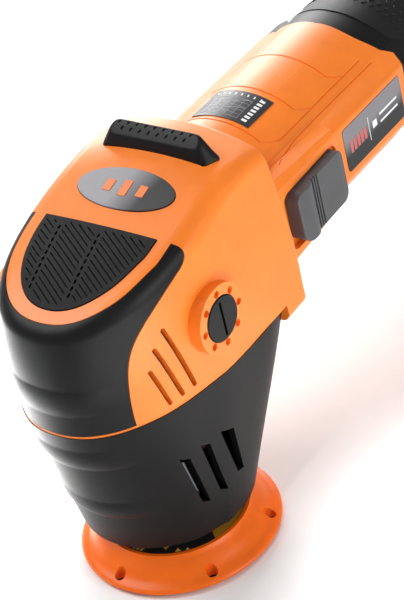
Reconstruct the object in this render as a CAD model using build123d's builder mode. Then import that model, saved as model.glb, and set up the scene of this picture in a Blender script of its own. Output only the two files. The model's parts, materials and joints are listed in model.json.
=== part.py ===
"""Dual action polisher with an 80 mm backing plate, built up from its separate pieces.

Frame: +X points to the front of the head and the handle runs to -X, +Y is the tool's left,
+Z is up.  The motor axis is the Z axis, and z = 0 is the working face of the backing plate.
"""
from build123d import *
from math import atan2, copysign, cos, degrees, radians, sin
import os

os.makedirs("parts", exist_ok=True)

# ---- driving dimensions, millimetres ----
PLATE_R = 40.0            # backing plate radius
ORBIT_OFFSET = 7.0        # spindle axis to motor axis: a 14 mm orbit
ORBIT_ANGLE = 56.0        # where the eccentric stands at rest, from +X towards +Y
HOOK_T = 1.2              # hook face thickness
PLATE_TOP = 12.0          # top edge of the moulded plate
BOARD_TOP = 11.6          # top of the fibreglass board
SKIRT_BOTTOM = 16.0       # lower edge of the shroud
SEAM_Z = 81.0             # parting plane between shroud and head housing
FLANGE_Z = 73.0           # underside of the neck flange
HEAD_REAR = -47.0         # parting plane between head and neck
FLANGE_REAR = -60.0       # rear face of the neck flange
NECK_Z = 105.8            # height of the handle axis
NECK_R = 32.0             # radius of the round neck
NECK_END = -149.0         # orange shell ends here on top
GRIP_END = -240.0         # rear edge of the rubber sleeve
TOOL_END = -250.0         # rear face of the end cap
WALL = 3.4                # head and neck shell thickness
SHROUD_WALL = 3.0         # shroud thickness
GRIP_T = 1.8              # thickness of the moulded-on front grip
SPLIT_GAP = 0.25          # visible gap between neighbouring covers
BRUSH_Z = 105.2           # height of the carbon brushes
BRUSH_ANGLE = 100.0       # direction of the left brush, from +X towards +Y

# ---- motor stack, heights along the motor axis ----
CARRIER_BOTTOM, CARRIER_TOP = 16.2, 49.0
LOWER_BEARING = (50.5, 58.5)      # 10 x 26 x 8
BRACKET_Z = (55.0, 59.0)
FAN_Z = (60.0, 66.5)
CORE_Z = (71.0, 97.0)
COIL_END = 2.6                    # overhang of the windings beyond the core
COMMUTATOR_Z = (101.5, 112.0)
UPPER_BEARING = (114.0, 121.0)    # 8 x 22 x 7
SHAFT_R = 5.0
SHAFT_TOP_R = 4.0
STATOR_R = 28.0
ROTOR_R = 16.6
RUN_GAP = 0.05                    # radial running clearance of a journal
BOSS_RING = 33.0                  # radius of the circle of motor bosses
BOSS_ANGLES = (38, 142, 218, 322)

ECC_X = ORBIT_OFFSET * cos(radians(ORBIT_ANGLE))
ECC_Y = ORBIT_OFFSET * sin(radians(ORBIT_ANGLE))
SPINDLE_AXIS = Plane(origin=(ECC_X, ECC_Y, 0))
PLATE_CLOCK = -5.0                # angle of the first dust hole
DUST_ANGLES = [PLATE_CLOCK + 60 * i for i in range(6)]
DUST_RING = 36.0                  # radius of the circle of dust holes


# ---- outer forms ----
# Each level of the head: height, x of the widest place, x of the nose, half width, roundness
HEAD_LEVELS = [
    (FLANGE_Z, -22, 48.0, 41.0, 2.25),
    (95, -22, 47.6, 40.9, 2.25),
    (109, -22, 46.4, 40.4, 2.3),
    (122, -22, 44.0, 38.9, 2.35),
    (134, -22, 41.0, 37.0, 2.4),
    (158, -22, 33.0, 33.0, 2.4),
]
BLOCK_REAR = -80.0        # the forms run on past the parting plane and are cut there
SIDE_TAPER = 1.5          # the sides close in by this much towards the rear

# Top line of the head: x, height in the middle, fall at the sides
TOP_LINE = [
    (BLOCK_REAR, 149.8, 3.6),
    (HEAD_REAR, 148.6, 3.4),
    (-20.7, 143.6, 0.9),
    (-4.0, 139.3, 0.7),
    (16.0, 134.4, 0.6),
    (34.0, 128.6, 0.5),
    (54.0, 120.0, 0.5),
]
TOP_HALF_SPAN = 55.0
CROWN_SPAN = 29.0         # half width over which the fall is given
FORM_BASE = 60.0

# Each level of the shroud: height, widest x, nose x, half width, tail x, nose and tail roundness
SHROUD_LEVELS = [
    (SKIRT_BOTTOM, 0.0, 35.0, 35.0, -35.0, 2.0, 2.0),
    (32, -5.4, 38.6, 36.6, -42.2, 2.05, 2.2),
    (48, -10.8, 42.0, 38.2, -49.6, 2.12, 2.45),
    (64, -16.2, 45.2, 39.7, -57.0, 2.18, 2.7),
    (SEAM_Z, -22.0, 48.0, 41.0, -64.0, 2.25, 3.0),
]


def nose_points(widest, nose, half_width, roundness, side=1):
    """Points of a superellipse from (widest, -half_width) round the nose to the other side."""
    reach = abs(nose - widest)
    points = []
    for step in range(-6, 7):
        turn = radians(15 * step) * side
        along = abs(cos(turn)) ** (2 / roundness)
        across = copysign(abs(sin(turn)) ** (2 / roundness), sin(turn))
        points.append((widest + side * reach * along, half_width * across))
    points[0] = (widest, -side * half_width)
    points[-1] = (widest, side * half_width)
    return points


def head_level(level, inset):
    """One horizontal section of the head form, drawn in by inset."""
    z, widest, nose, half_width, roundness = level
    points = nose_points(widest, nose - inset, half_width - inset, roundness)
    rear_half = half_width - inset - SIDE_TAPER
    with BuildSketch(Plane.XY.offset(z)) as section:
        with BuildLine():
            Spline(*points, tangents=[(1, 0), (-1, 0)])
            Polyline(points[-1], (BLOCK_REAR, rear_half), (BLOCK_REAR, -rear_half), points[0])
        make_face()
    return section.sketch


def roof_section(station, inset):
    """Cross-section of the space under the crowned top, at one place along X."""
    x, height, fall = station
    edge = height - inset - fall * (TOP_HALF_SPAN / CROWN_SPAN) ** 2
    span = TOP_HALF_SPAN
    with BuildSketch(Plane(origin=(x, 0, 0), x_dir=(0, 1, 0), z_dir=(1, 0, 0))) as section:
        with BuildLine():
            ThreePointArc((-span, edge), (0, height - inset), (span, edge))
            Polyline((span, edge), (span, FORM_BASE), (-span, FORM_BASE), (-span, edge))
        make_face()
    return section.sketch


def head_form(inset, edge_radius):
    """The solid head, nose to neck flange, drawn in by inset and rounded along its top edge."""
    with BuildPart() as form:
        loft(sections=[head_level(level, inset) for level in HEAD_LEVELS])
        with BuildPart(mode=Mode.PRIVATE) as roof:
            loft(sections=[roof_section(station, inset) for station in TOP_LINE])
        add(roof.part, mode=Mode.INTERSECT)
        rim = [edge for edge in form.edges() if edge.center().Z > 120 and edge.center().X > BLOCK_REAR + 1]
        fillet(rim, edge_radius)
    return form.part


def shroud_form(inset):
    """The solid lower shroud, drawn in by inset."""
    sections = []
    for z, widest, nose, half_width, tail, nose_round, tail_round in SHROUD_LEVELS:
        front = nose_points(widest, nose - inset, half_width - inset, nose_round)
        rear = nose_points(widest, tail + inset, half_width - inset, tail_round, side=-1)
        with BuildSketch(Plane.XY.offset(z)) as section:
            with BuildLine():
                Spline(*front, tangents=[(1, 0), (-1, 0)])
                Spline(*rear, tangents=[(-1, 0), (1, 0)])
            make_face()
        sections.append(section.sketch)
    with BuildPart() as form:
        loft(sections=sections)
    return form.part


def half_ring(center_x, reach, half_width, roundness):
    """Plan outline closed by a straight line across its rear, as on the front pad."""
    points = nose_points(center_x, center_x + reach, half_width, roundness)
    with BuildSketch() as outline:
        with BuildLine():
            Spline(*points, tangents=[(1, 0), (-1, 0)])
            Line(points[-1], points[0])
        make_face()
    return outline.sketch


def axial_ring(outer_r, inner_r, low, high, plane=Plane.XY):
    """Plain ring between two heights."""
    with BuildPart(plane.offset(low)) as ring:
        Cylinder(outer_r, high - low, align=(Align.CENTER, Align.CENTER, Align.MIN))
        Hole(inner_r)
    return ring.part


def ball_bearing(bore_r, outer_r, low, high, plane=Plane.XY):
    """Ball bearing as one piece, with recessed shields between its races."""
    race = (outer_r - bore_r) * 0.24
    with BuildPart(plane.offset(low)) as bearing:
        Cylinder(outer_r, high - low, align=(Align.CENTER, Align.CENTER, Align.MIN))
        Hole(bore_r)
        for face_z in (0, high - low - 0.5):
            with BuildSketch(plane.offset(low + face_z)):
                Circle(outer_r - race)
                Circle(bore_r + race, mode=Mode.SUBTRACT)
            extrude(amount=0.5, mode=Mode.SUBTRACT)
        chamfer(bearing.edges().filter_by(GeomType.CIRCLE).group_by(SortBy.RADIUS)[-1], 0.4)
    return bearing.part


HEAD_OUTER = head_form(0, 8.0)
HEAD_INNER = head_form(WALL, 5.0)
GRIP_INNER = head_form(GRIP_T, 6.5)
HEAD_PROUD = head_form(-0.5, 8.5)
HEAD_RECESS = head_form(1.4, 7.0)
SHROUD_OUTER = shroud_form(0)
SHROUD_INNER = shroud_form(SHROUD_WALL)


# ---- shapes that several covers share ----
PAD_CENTER_X, PAD_REACH, PAD_HALF = -3.5, 37.8, 25.6
RING_CENTER_X, RING_REACH, RING_HALF = -5.0, 44.0, 31.0
BADGE_X, BADGE_LENGTH, BADGE_WIDTH = -20.6, 21.9, 9.4
CAP_X, CAP_Z = -7.0, 105.3    # centre of the left brush cap
CAP_FACE = 43.8           # outer face of a brush cap, measured along Y
CAP_T = 2.9
CAP_R = 8.95
PLUG_R, PLUG_T = 5.4, 3.9     # inner end of the cap, which holds the spring
SPOT_R = 13.5             # raised ring round the brush cap
SPOT_FACE = 43.3
POCKET_T = 2.6
SOCKET_R = 6.2            # bore that takes the brush holder


def cap_plane(distance, side):
    """Plane square to Y at a brush cap; the two caps face each other across the motor axis."""
    return Plane(origin=(side * CAP_X, side * distance, CAP_Z), x_dir=(-side, 0, 0), z_dir=(0, side, 0))


def brush_plane(distance, side):
    """Plane square to the brush axis at a distance from the motor axis, on either side."""
    turn = radians(BRUSH_ANGLE + (0 if side > 0 else 180))
    out = (cos(turn), sin(turn), 0)
    origin = (distance * out[0], distance * out[1], BRUSH_Z)
    return Plane(origin=origin, x_dir=(-out[1], out[0], 0), z_dir=out)


def grip_side(margin):
    """Side view of the moulded-on front grip, bounded behind by its curved edge."""
    low = SEAM_Z + 0.9 + margin
    with BuildSketch(Plane.XZ) as side:
        with BuildLine():
            Spline((33 + margin, low), (32.6 + margin, 97), (27.8 + margin, 113.4 + margin),
                   (12.8 + margin, 125.4 + margin), (0.5 + margin, 130.8 + margin))
            Spline((0.5 + margin, 130.8 + margin), (-2.9 + margin, 132.9 + margin), (-4.6 + margin, 135.6),
                   (-3.8 + margin, 138.2))
            Polyline((-3.8 + margin, 138.2), (2 + margin, 170), (70, 170), (70, low), (33 + margin, low))
        make_face()
    return side.sketch


def grip_region(margin):
    """Space that the front grip fills, outside the orange ring round the top pad."""
    ring = half_ring(RING_CENTER_X, RING_REACH + margin, RING_HALF + margin, 2.3)
    with BuildPart() as region:
        extrude(grip_side(margin), amount=60, both=True)
        extrude(ring, amount=200, mode=Mode.SUBTRACT)
        with Locations((RING_CENTER_X, 0, 130)):
            Box(60, 2 * (RING_HALF + margin), 80, align=(Align.MAX, Align.CENTER, Align.CENTER),
                mode=Mode.SUBTRACT)
    return region.part


# Ventilation slots seen from the side: top x and z, bottom x and z, width.
# The brush cap stands further forward on the right, so the slots there are shorter.
LEFT_SLOTS = [((15.9, 115.4), (9.0, 84.9), 2.0), ((21.2, 110.0), (14.8, 84.4), 1.9),
              ((24.9, 102.4), (20.3, 83.8), 1.7)]
RIGHT_SLOTS = [((10.27, 90.5), (9.0, 84.9), 2.0), ((17.2, 94.0), (14.8, 84.4), 1.9),
               ((23.6, 97.0), (20.3, 83.8), 1.7)]
# Outlet louvres: y of the wall there, then x and z of the corners from the top rear one round
OUTLET_SLOTS = [
    (33.6, ((17.9, 55.8), (23.5, 58.1), (17.7, 32.5), (12.8, 30.6))),
    (36.6, ((8.6, 56.4), (14.0, 58.4), (9.8, 32.6), (4.8, 30.9))),
    (37.2, ((-3.2, 55.5), (2.6, 58.2), (-1.3, 34.3), (-5.5, 33.3))),
]
LOUVRE_BEVEL = 2.4        # width of the slanted front wall of an outlet louvre


SLOT_CLEAR_Y = 24.0


def slot_cutters(slots, side):
    """Slanted slots through one side wall, clear of what lies inside."""
    with BuildPart() as cutters:
        with BuildSketch(Plane.XZ):
            for (top_x, top_z), (low_x, low_z), width in slots:
                length = ((top_x - low_x) ** 2 + (top_z - low_z) ** 2) ** 0.5
                lean = degrees(atan2(top_z - low_z, top_x - low_x))
                with Locations(((top_x + low_x) / 2, (top_z + low_z) / 2)):
                    SlotOverall(length, width, rotation=lean)
        extrude(amount=-60 * side)
        Box(200, 2 * SLOT_CLEAR_Y, 400, mode=Mode.SUBTRACT)
    return cutters.part


def louvre_outline(corners, front_shift):
    """Outline of one louvre with its front edge moved along X."""
    top_rear, top_front, low_front, low_rear = corners
    return [top_rear, (top_front[0] + front_shift, top_front[1]), (low_front[0] + front_shift, low_front[1]),
            low_rear]


def louvre_cutters():
    """Cutters of the outlet louvres, with a slanted front wall, on both sides."""
    with BuildPart() as cutters:
        for wall_y, corners in OUTLET_SLOTS:
            for side in (1, -1):
                with BuildSketch(Plane.XZ.offset(-side * (wall_y + LOUVRE_BEVEL))):
                    Polygon(*louvre_outline(corners, LOUVRE_BEVEL), align=None)
                with BuildSketch(Plane.XZ.offset(-side * (wall_y - LOUVRE_BEVEL))):
                    Polygon(*louvre_outline(corners, -LOUVRE_BEVEL), align=None)
                loft()
                with BuildSketch(Plane.XZ.offset(-side * (wall_y - LOUVRE_BEVEL))):
                    Polygon(*louvre_outline(corners, -LOUVRE_BEVEL), align=None)
                extrude(amount=side * 8.0)
    return cutters.part


# ---- backing plate group ----
with BuildPart(SPINDLE_AXIS) as hook_face:
    Cylinder(PLATE_R - 2.5, HOOK_T, align=(Align.CENTER, Align.CENTER, Align.MIN))
    Hole(5.0)
    with PolarLocations(36.0, 6, start_angle=PLATE_CLOCK):
        Hole(2.6)
hook_face.part.label = "hook_face"
export_step(hook_face.part, "parts/hook_face.step")

BOARD_R = 28.0
with BuildPart() as backing_plate:
    with BuildSketch(Plane.XZ):
        with BuildLine():
            Polyline((8.0, HOOK_T), (PLATE_R - 0.8, HOOK_T), (PLATE_R, HOOK_T + 0.8), (PLATE_R, 2.6))
            Spline((PLATE_R, 2.6), (37.4, 4.4), (32.6, 8.6), (29.4, PLATE_TOP),
                   tangents=[(-0.4, 1), (-0.5, 1)])
            Polyline((29.4, PLATE_TOP), (BOARD_R, PLATE_TOP), (BOARD_R, 8.6), (8.0, 8.6), (8.0, HOOK_T))
        make_face()
    revolve(axis=Axis.Z)
    with Locations(*[Location((DUST_RING * cos(radians(turn)), DUST_RING * sin(radians(turn)), PLATE_TOP))
                     for turn in DUST_ANGLES]):
        Hole(2.3)
backing_plate.part.locate(Location((ECC_X, ECC_Y, 0)))
backing_plate.part.label = "backing_plate"
export_step(backing_plate.part, "parts/backing_plate.step")

with BuildPart(SPINDLE_AXIS.offset(8.6)) as plate_board:
    Cylinder(BOARD_R, BOARD_TOP - 8.6, align=(Align.CENTER, Align.CENTER, Align.MIN))
    Hole(3.1)
plate_board.part.label = "plate_board"
export_step(plate_board.part, "parts/plate_board.step")

with BuildPart(SPINDLE_AXIS.offset(BOARD_TOP)) as plate_print_ring:
    Cylinder(BOARD_R - 0.2, 0.2, align=(Align.CENTER, Align.CENTER, Align.MIN))
    Hole(15.0)
plate_print_ring.part.label = "plate_print_ring"
export_step(plate_print_ring.part, "parts/plate_print_ring.step")

with BuildPart(SPINDLE_AXIS.offset(2.8)) as plate_bolt:
    Cylinder(5.0, 5.0, align=(Align.CENTER, Align.CENTER, Align.MIN))
    with BuildSketch(SPINDLE_AXIS.offset(7.8)):
        Circle(2.9)
    extrude(amount=20.0)
    with BuildSketch(SPINDLE_AXIS.offset(2.8)):
        RegularPolygon(2.9, 6)
    extrude(amount=3.0, mode=Mode.SUBTRACT)
plate_bolt.part.label = "plate_bolt"
export_step(plate_bolt.part, "parts/plate_bolt.step")

plate_washer = axial_ring(7.0, 3.1, 7.8, 8.6, SPINDLE_AXIS)
plate_washer.label = "plate_washer"
export_step(plate_washer, "parts/plate_washer.step")

with BuildPart(SPINDLE_AXIS.offset(BOARD_TOP)) as spindle:
    Cylinder(12.5, 3.4, align=(Align.CENTER, Align.CENTER, Align.MIN))
    with BuildSketch(SPINDLE_AXIS.offset(BOARD_TOP)):
        Circle(13)
        Rectangle(22, 30, mode=Mode.INTERSECT)
    extrude(amount=3.4, mode=Mode.INTERSECT)
    with BuildSketch(SPINDLE_AXIS.offset(15.0)):
        Circle(6.0)
    extrude(amount=25.6)
    chamfer(spindle.faces().sort_by(Axis.Z)[-1].edges(), 0.8)
    with BuildSketch(SPINDLE_AXIS.offset(BOARD_TOP)):
        Circle(3.0)
    extrude(amount=19.0, mode=Mode.SUBTRACT)
spindle.part.label = "spindle"
export_step(spindle.part, "parts/spindle.step")

# ---- crank group: eccentric carrier, counterweight and armature ----
CARRIER_R = 17.5
BEARING_SEAT_R = 14.0
with BuildPart(SPINDLE_AXIS.offset(CARRIER_BOTTOM)) as eccentric_carrier:
    Cylinder(CARRIER_R, CARRIER_TOP - CARRIER_BOTTOM, align=(Align.CENTER, Align.CENTER, Align.MIN))
    chamfer(eccentric_carrier.faces().sort_by(Axis.Z)[-1].edges(), 1.5)
    with BuildSketch(SPINDLE_AXIS.offset(CARRIER_BOTTOM)):
        Circle(BEARING_SEAT_R)
    extrude(amount=25.5 - CARRIER_BOTTOM, mode=Mode.SUBTRACT)
    with BuildSketch(SPINDLE_AXIS.offset(25.5)):
        Circle(11.5)
    extrude(amount=6.0, mode=Mode.SUBTRACT)
    with BuildSketch(SPINDLE_AXIS.offset(31.5)):
        Circle(BEARING_SEAT_R)
    extrude(amount=9.5, mode=Mode.SUBTRACT)
    with BuildSketch(Plane.XY.offset(42.0)):
        Circle(SHAFT_R)
    extrude(amount=CARRIER_TOP - 42.0, mode=Mode.SUBTRACT)
eccentric_carrier.part.label = "eccentric_carrier"
export_step(eccentric_carrier.part, "parts/eccentric_carrier.step")

lower_spindle_bearing = ball_bearing(6.0 + RUN_GAP, BEARING_SEAT_R, 17.5, 25.5, SPINDLE_AXIS)
upper_spindle_bearing = ball_bearing(6.0 + RUN_GAP, BEARING_SEAT_R, 31.5, 39.5, SPINDLE_AXIS)
spindle_bearings = Compound(label="spindle_bearings", children=[lower_spindle_bearing, upper_spindle_bearing])
export_step(spindle_bearings, "parts/spindle_bearings.step")

with BuildPart(SPINDLE_AXIS.offset(CARRIER_BOTTOM)) as retaining_ring:
    Cylinder(BEARING_SEAT_R, 1.3, align=(Align.CENTER, Align.CENTER, Align.MIN))
    Hole(11.6)
    with Locations((BEARING_SEAT_R - 2, 0, 0)):
        Box(6, 5, 4, mode=Mode.SUBTRACT)
retaining_ring.part.label = "retaining_ring"
export_step(retaining_ring.part, "parts/retaining_ring.step")

WEIGHT_Z = (28.0, 43.0)
WEIGHT_R = 29.5
WEIGHT_SPREAD = 70.0
with BuildPart() as counterweight:
    with BuildSketch(Plane.XY.offset(WEIGHT_Z[0])):
        with BuildLine():
            heavy = ORBIT_ANGLE + 180
            CenterArc((0, 0), WEIGHT_R, heavy - WEIGHT_SPREAD, 2 * WEIGHT_SPREAD)
            for turn in (heavy - WEIGHT_SPREAD, heavy + WEIGHT_SPREAD):
                Line((0, 0), (WEIGHT_R * cos(radians(turn)), WEIGHT_R * sin(radians(turn))))
        make_face()
        with Locations((ECC_X, ECC_Y)):
            Circle(CARRIER_R, mode=Mode.SUBTRACT)
    extrude(amount=WEIGHT_Z[1] - WEIGHT_Z[0])
    outer_edges = counterweight.edges().filter_by(GeomType.CIRCLE).group_by(SortBy.RADIUS)[-1]
    chamfer(outer_edges, 1.0)
    with PolarLocations(22.0, 2, start_angle=ORBIT_ANGLE + 180 - 35, angular_range=70, endpoint=True):
        with Locations((0, 0, WEIGHT_Z[1])):
            CounterBoreHole(2.1, 3.8, 4.0, 10.0)
counterweight.part.label = "counterweight"
export_step(counterweight.part, "parts/counterweight.step")

with BuildPart() as counterweight_screws:
    with PolarLocations(22.0, 2, start_angle=ORBIT_ANGLE + 180 - 35, angular_range=70, endpoint=True):
        with Locations((0, 0, WEIGHT_Z[1] - 4.0)):
            Cylinder(3.5, 3.6, align=(Align.CENTER, Align.CENTER, Align.MIN))
            Cylinder(2.0, 5.8, align=(Align.CENTER, Align.CENTER, Align.MAX))
counterweight_screws.part.label = "counterweight_screws"
export_step(counterweight_screws.part, "parts/counterweight_screws.step")

with BuildPart(Plane.XY.offset(42.5)) as armature_shaft:
    Cylinder(SHAFT_R, 113.0 - 42.5, align=(Align.CENTER, Align.CENTER, Align.MIN))
    with BuildSketch(Plane.XY.offset(113.0)):
        Circle(SHAFT_TOP_R)
    extrude(amount=9.0)
    chamfer(armature_shaft.faces().sort_by(Axis.Z)[-1].edges(), 0.6)
armature_shaft.part.label = "armature_shaft"
export_step(armature_shaft.part, "parts/armature_shaft.step")

CORE_SLOTS = 12
with BuildPart(Plane.XY.offset(CORE_Z[0])) as armature_core:
    Cylinder(ROTOR_R, CORE_Z[1] - CORE_Z[0], align=(Align.CENTER, Align.CENTER, Align.MIN))
    Hole(SHAFT_R)
    with BuildSketch(Plane.XY.offset(CORE_Z[0])):
        with PolarLocations(ROTOR_R - 1.6, CORE_SLOTS):
            Rectangle(4.4, 1.6)
    extrude(amount=CORE_Z[1] - CORE_Z[0], mode=Mode.SUBTRACT)
armature_core.part.label = "armature_core"
export_step(armature_core.part, "parts/armature_core.step")

with BuildPart() as armature_windings:
    for low in (CORE_Z[0] - COIL_END, CORE_Z[1]):
        with BuildSketch(Plane.XY.offset(low)):
            Circle(14.2)
            Circle(SHAFT_R, mode=Mode.SUBTRACT)
        extrude(amount=COIL_END)
    circles = armature_windings.edges().filter_by(GeomType.CIRCLE)
    outer_rims = circles.group_by(SortBy.RADIUS)[-1].sort_by(Axis.Z)
    fillet([outer_rims[0], outer_rims[-1]], 1.4)
armature_windings.part.label = "armature_windings"
export_step(armature_windings.part, "parts/armature_windings.step")

COMMUTATOR_R = 10.0
COMMUTATOR_BARS = 24
with BuildPart(Plane.XY.offset(COMMUTATOR_Z[0])) as commutator:
    Cylinder(COMMUTATOR_R, COMMUTATOR_Z[1] - COMMUTATOR_Z[0], align=(Align.CENTER, Align.CENTER, Align.MIN))
    Hole(SHAFT_R)
    with BuildSketch(Plane.XY.offset(COMMUTATOR_Z[0])):
        with PolarLocations(COMMUTATOR_R - 0.4, COMMUTATOR_BARS):
            Rectangle(1.2, 0.5)
    extrude(amount=COMMUTATOR_Z[1] - COMMUTATOR_Z[0], mode=Mode.SUBTRACT)
commutator.part.label = "commutator"
export_step(commutator.part, "parts/commutator.step")

FAN_R = 27.0
FAN_BLADES = 11
with BuildPart(Plane.XY.offset(FAN_Z[0])) as cooling_fan:
    Cylinder(FAN_R, 1.6, align=(Align.CENTER, Align.CENTER, Align.MIN))
    Cylinder(9.0, FAN_Z[1] - FAN_Z[0], align=(Align.CENTER, Align.CENTER, Align.MIN))
    with BuildSketch(Plane.XY.offset(FAN_Z[0])):
        with PolarLocations((FAN_R + 8) / 2, FAN_BLADES):
            Rectangle(FAN_R - 8.5, 1.6, rotation=24)
    extrude(amount=FAN_Z[1] - FAN_Z[0])
    Hole(SHAFT_R)
cooling_fan.part.label = "cooling_fan"
export_step(cooling_fan.part, "parts/cooling_fan.step")

# ---- motor parts that stand still ----
lower_bearing = ball_bearing(SHAFT_R + RUN_GAP, 13.0, *LOWER_BEARING)
lower_bearing.label = "lower_bearing"
export_step(lower_bearing, "parts/lower_bearing.step")

upper_bearing = ball_bearing(SHAFT_TOP_R + RUN_GAP, 11.0, *UPPER_BEARING)
upper_bearing.label = "upper_bearing"
export_step(upper_bearing, "parts/upper_bearing.step")

LUG_R = 3.4
with BuildPart(Plane.XY.offset(LOWER_BEARING[0] - 0.5)) as bearing_bracket:
    Cylinder(16.5, BRACKET_Z[1] - LOWER_BEARING[0] + 0.5, align=(Align.CENTER, Align.CENTER, Align.MIN))
    with BuildSketch(Plane.XY.offset(BRACKET_Z[0])):
        Circle(32.0)
        Circle(28.6, mode=Mode.SUBTRACT)
        for turn in BOSS_ANGLES:
            with Locations(Rotation(0, 0, turn)):
                with Locations((24, 0)):
                    Rectangle(18, 6)
                with Locations((BOSS_RING, 0)):
                    Circle(LUG_R)
    extrude(amount=BRACKET_Z[1] - BRACKET_Z[0])
    with BuildSketch(Plane.XY.offset(LOWER_BEARING[0])):
        Circle(13.0)
    extrude(amount=20, mode=Mode.SUBTRACT)
    with BuildSketch(Plane.XY.offset(40)):
        Circle(8.0)
    extrude(amount=20, mode=Mode.SUBTRACT)
    with BuildSketch(Plane.XY.offset(BRACKET_Z[0])):
        for turn in BOSS_ANGLES:
            with Locations((BOSS_RING * cos(radians(turn)), BOSS_RING * sin(radians(turn)))):
                Circle(1.8)
    extrude(amount=10, mode=Mode.SUBTRACT)
bearing_bracket.part.label = "bearing_bracket"
export_step(bearing_bracket.part, "parts/bearing_bracket.step")

with BuildPart() as bracket_screws:
    for turn in BOSS_ANGLES:
        with Locations((BOSS_RING * cos(radians(turn)), BOSS_RING * sin(radians(turn)), BRACKET_Z[0])):
            Cylinder(2.9, 2.2, align=(Align.CENTER, Align.CENTER, Align.MAX))
            Cylinder(1.75, 16.0, align=(Align.CENTER, Align.CENTER, Align.MIN))
bracket_screws.part.label = "bracket_screws"
export_step(bracket_screws.part, "parts/bracket_screws.step")

motor_sleeve = axial_ring(STATOR_R + 1.4, STATOR_R, BRACKET_Z[1], CORE_Z[1] + 2)
motor_sleeve.label = "motor_sleeve"
export_step(motor_sleeve, "parts/motor_sleeve.step")

BORE_GAP = 0.6
POLE_HALF = 38.0          # half angle of each pole face
with BuildPart(Plane.XY.offset(CORE_Z[0])) as stator_core:
    Cylinder(STATOR_R, CORE_Z[1] - CORE_Z[0], align=(Align.CENTER, Align.CENTER, Align.MIN))
    Hole(ROTOR_R + BORE_GAP)
    with BuildSketch(Plane.XY.offset(CORE_Z[0])):
        for turn in (POLE_HALF, 180 - POLE_HALF, 180 + POLE_HALF, -POLE_HALF):
            with Locations((20.8 * cos(radians(turn)), 20.8 * sin(radians(turn)))):
                Rectangle(5.2, 9.0, rotation=turn)
    extrude(amount=CORE_Z[1] - CORE_Z[0], mode=Mode.SUBTRACT)
stator_core.part.label = "stator_core"
export_step(stator_core.part, "parts/stator_core.step")

# ---- head covers ----
FLANGE_SCREWS = [(-31.0, 85.0), (31.0, 85.0), (-29.0, 136.0), (29.0, 136.0)]    # y, z
SHROUD_SCREWS = [(-37.0, -25.0), (-37.0, 25.0)]                                  # x, y
INLET_CUTS = slot_cutters(LEFT_SLOTS, 1) + slot_cutters(RIGHT_SLOTS, -1)

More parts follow.
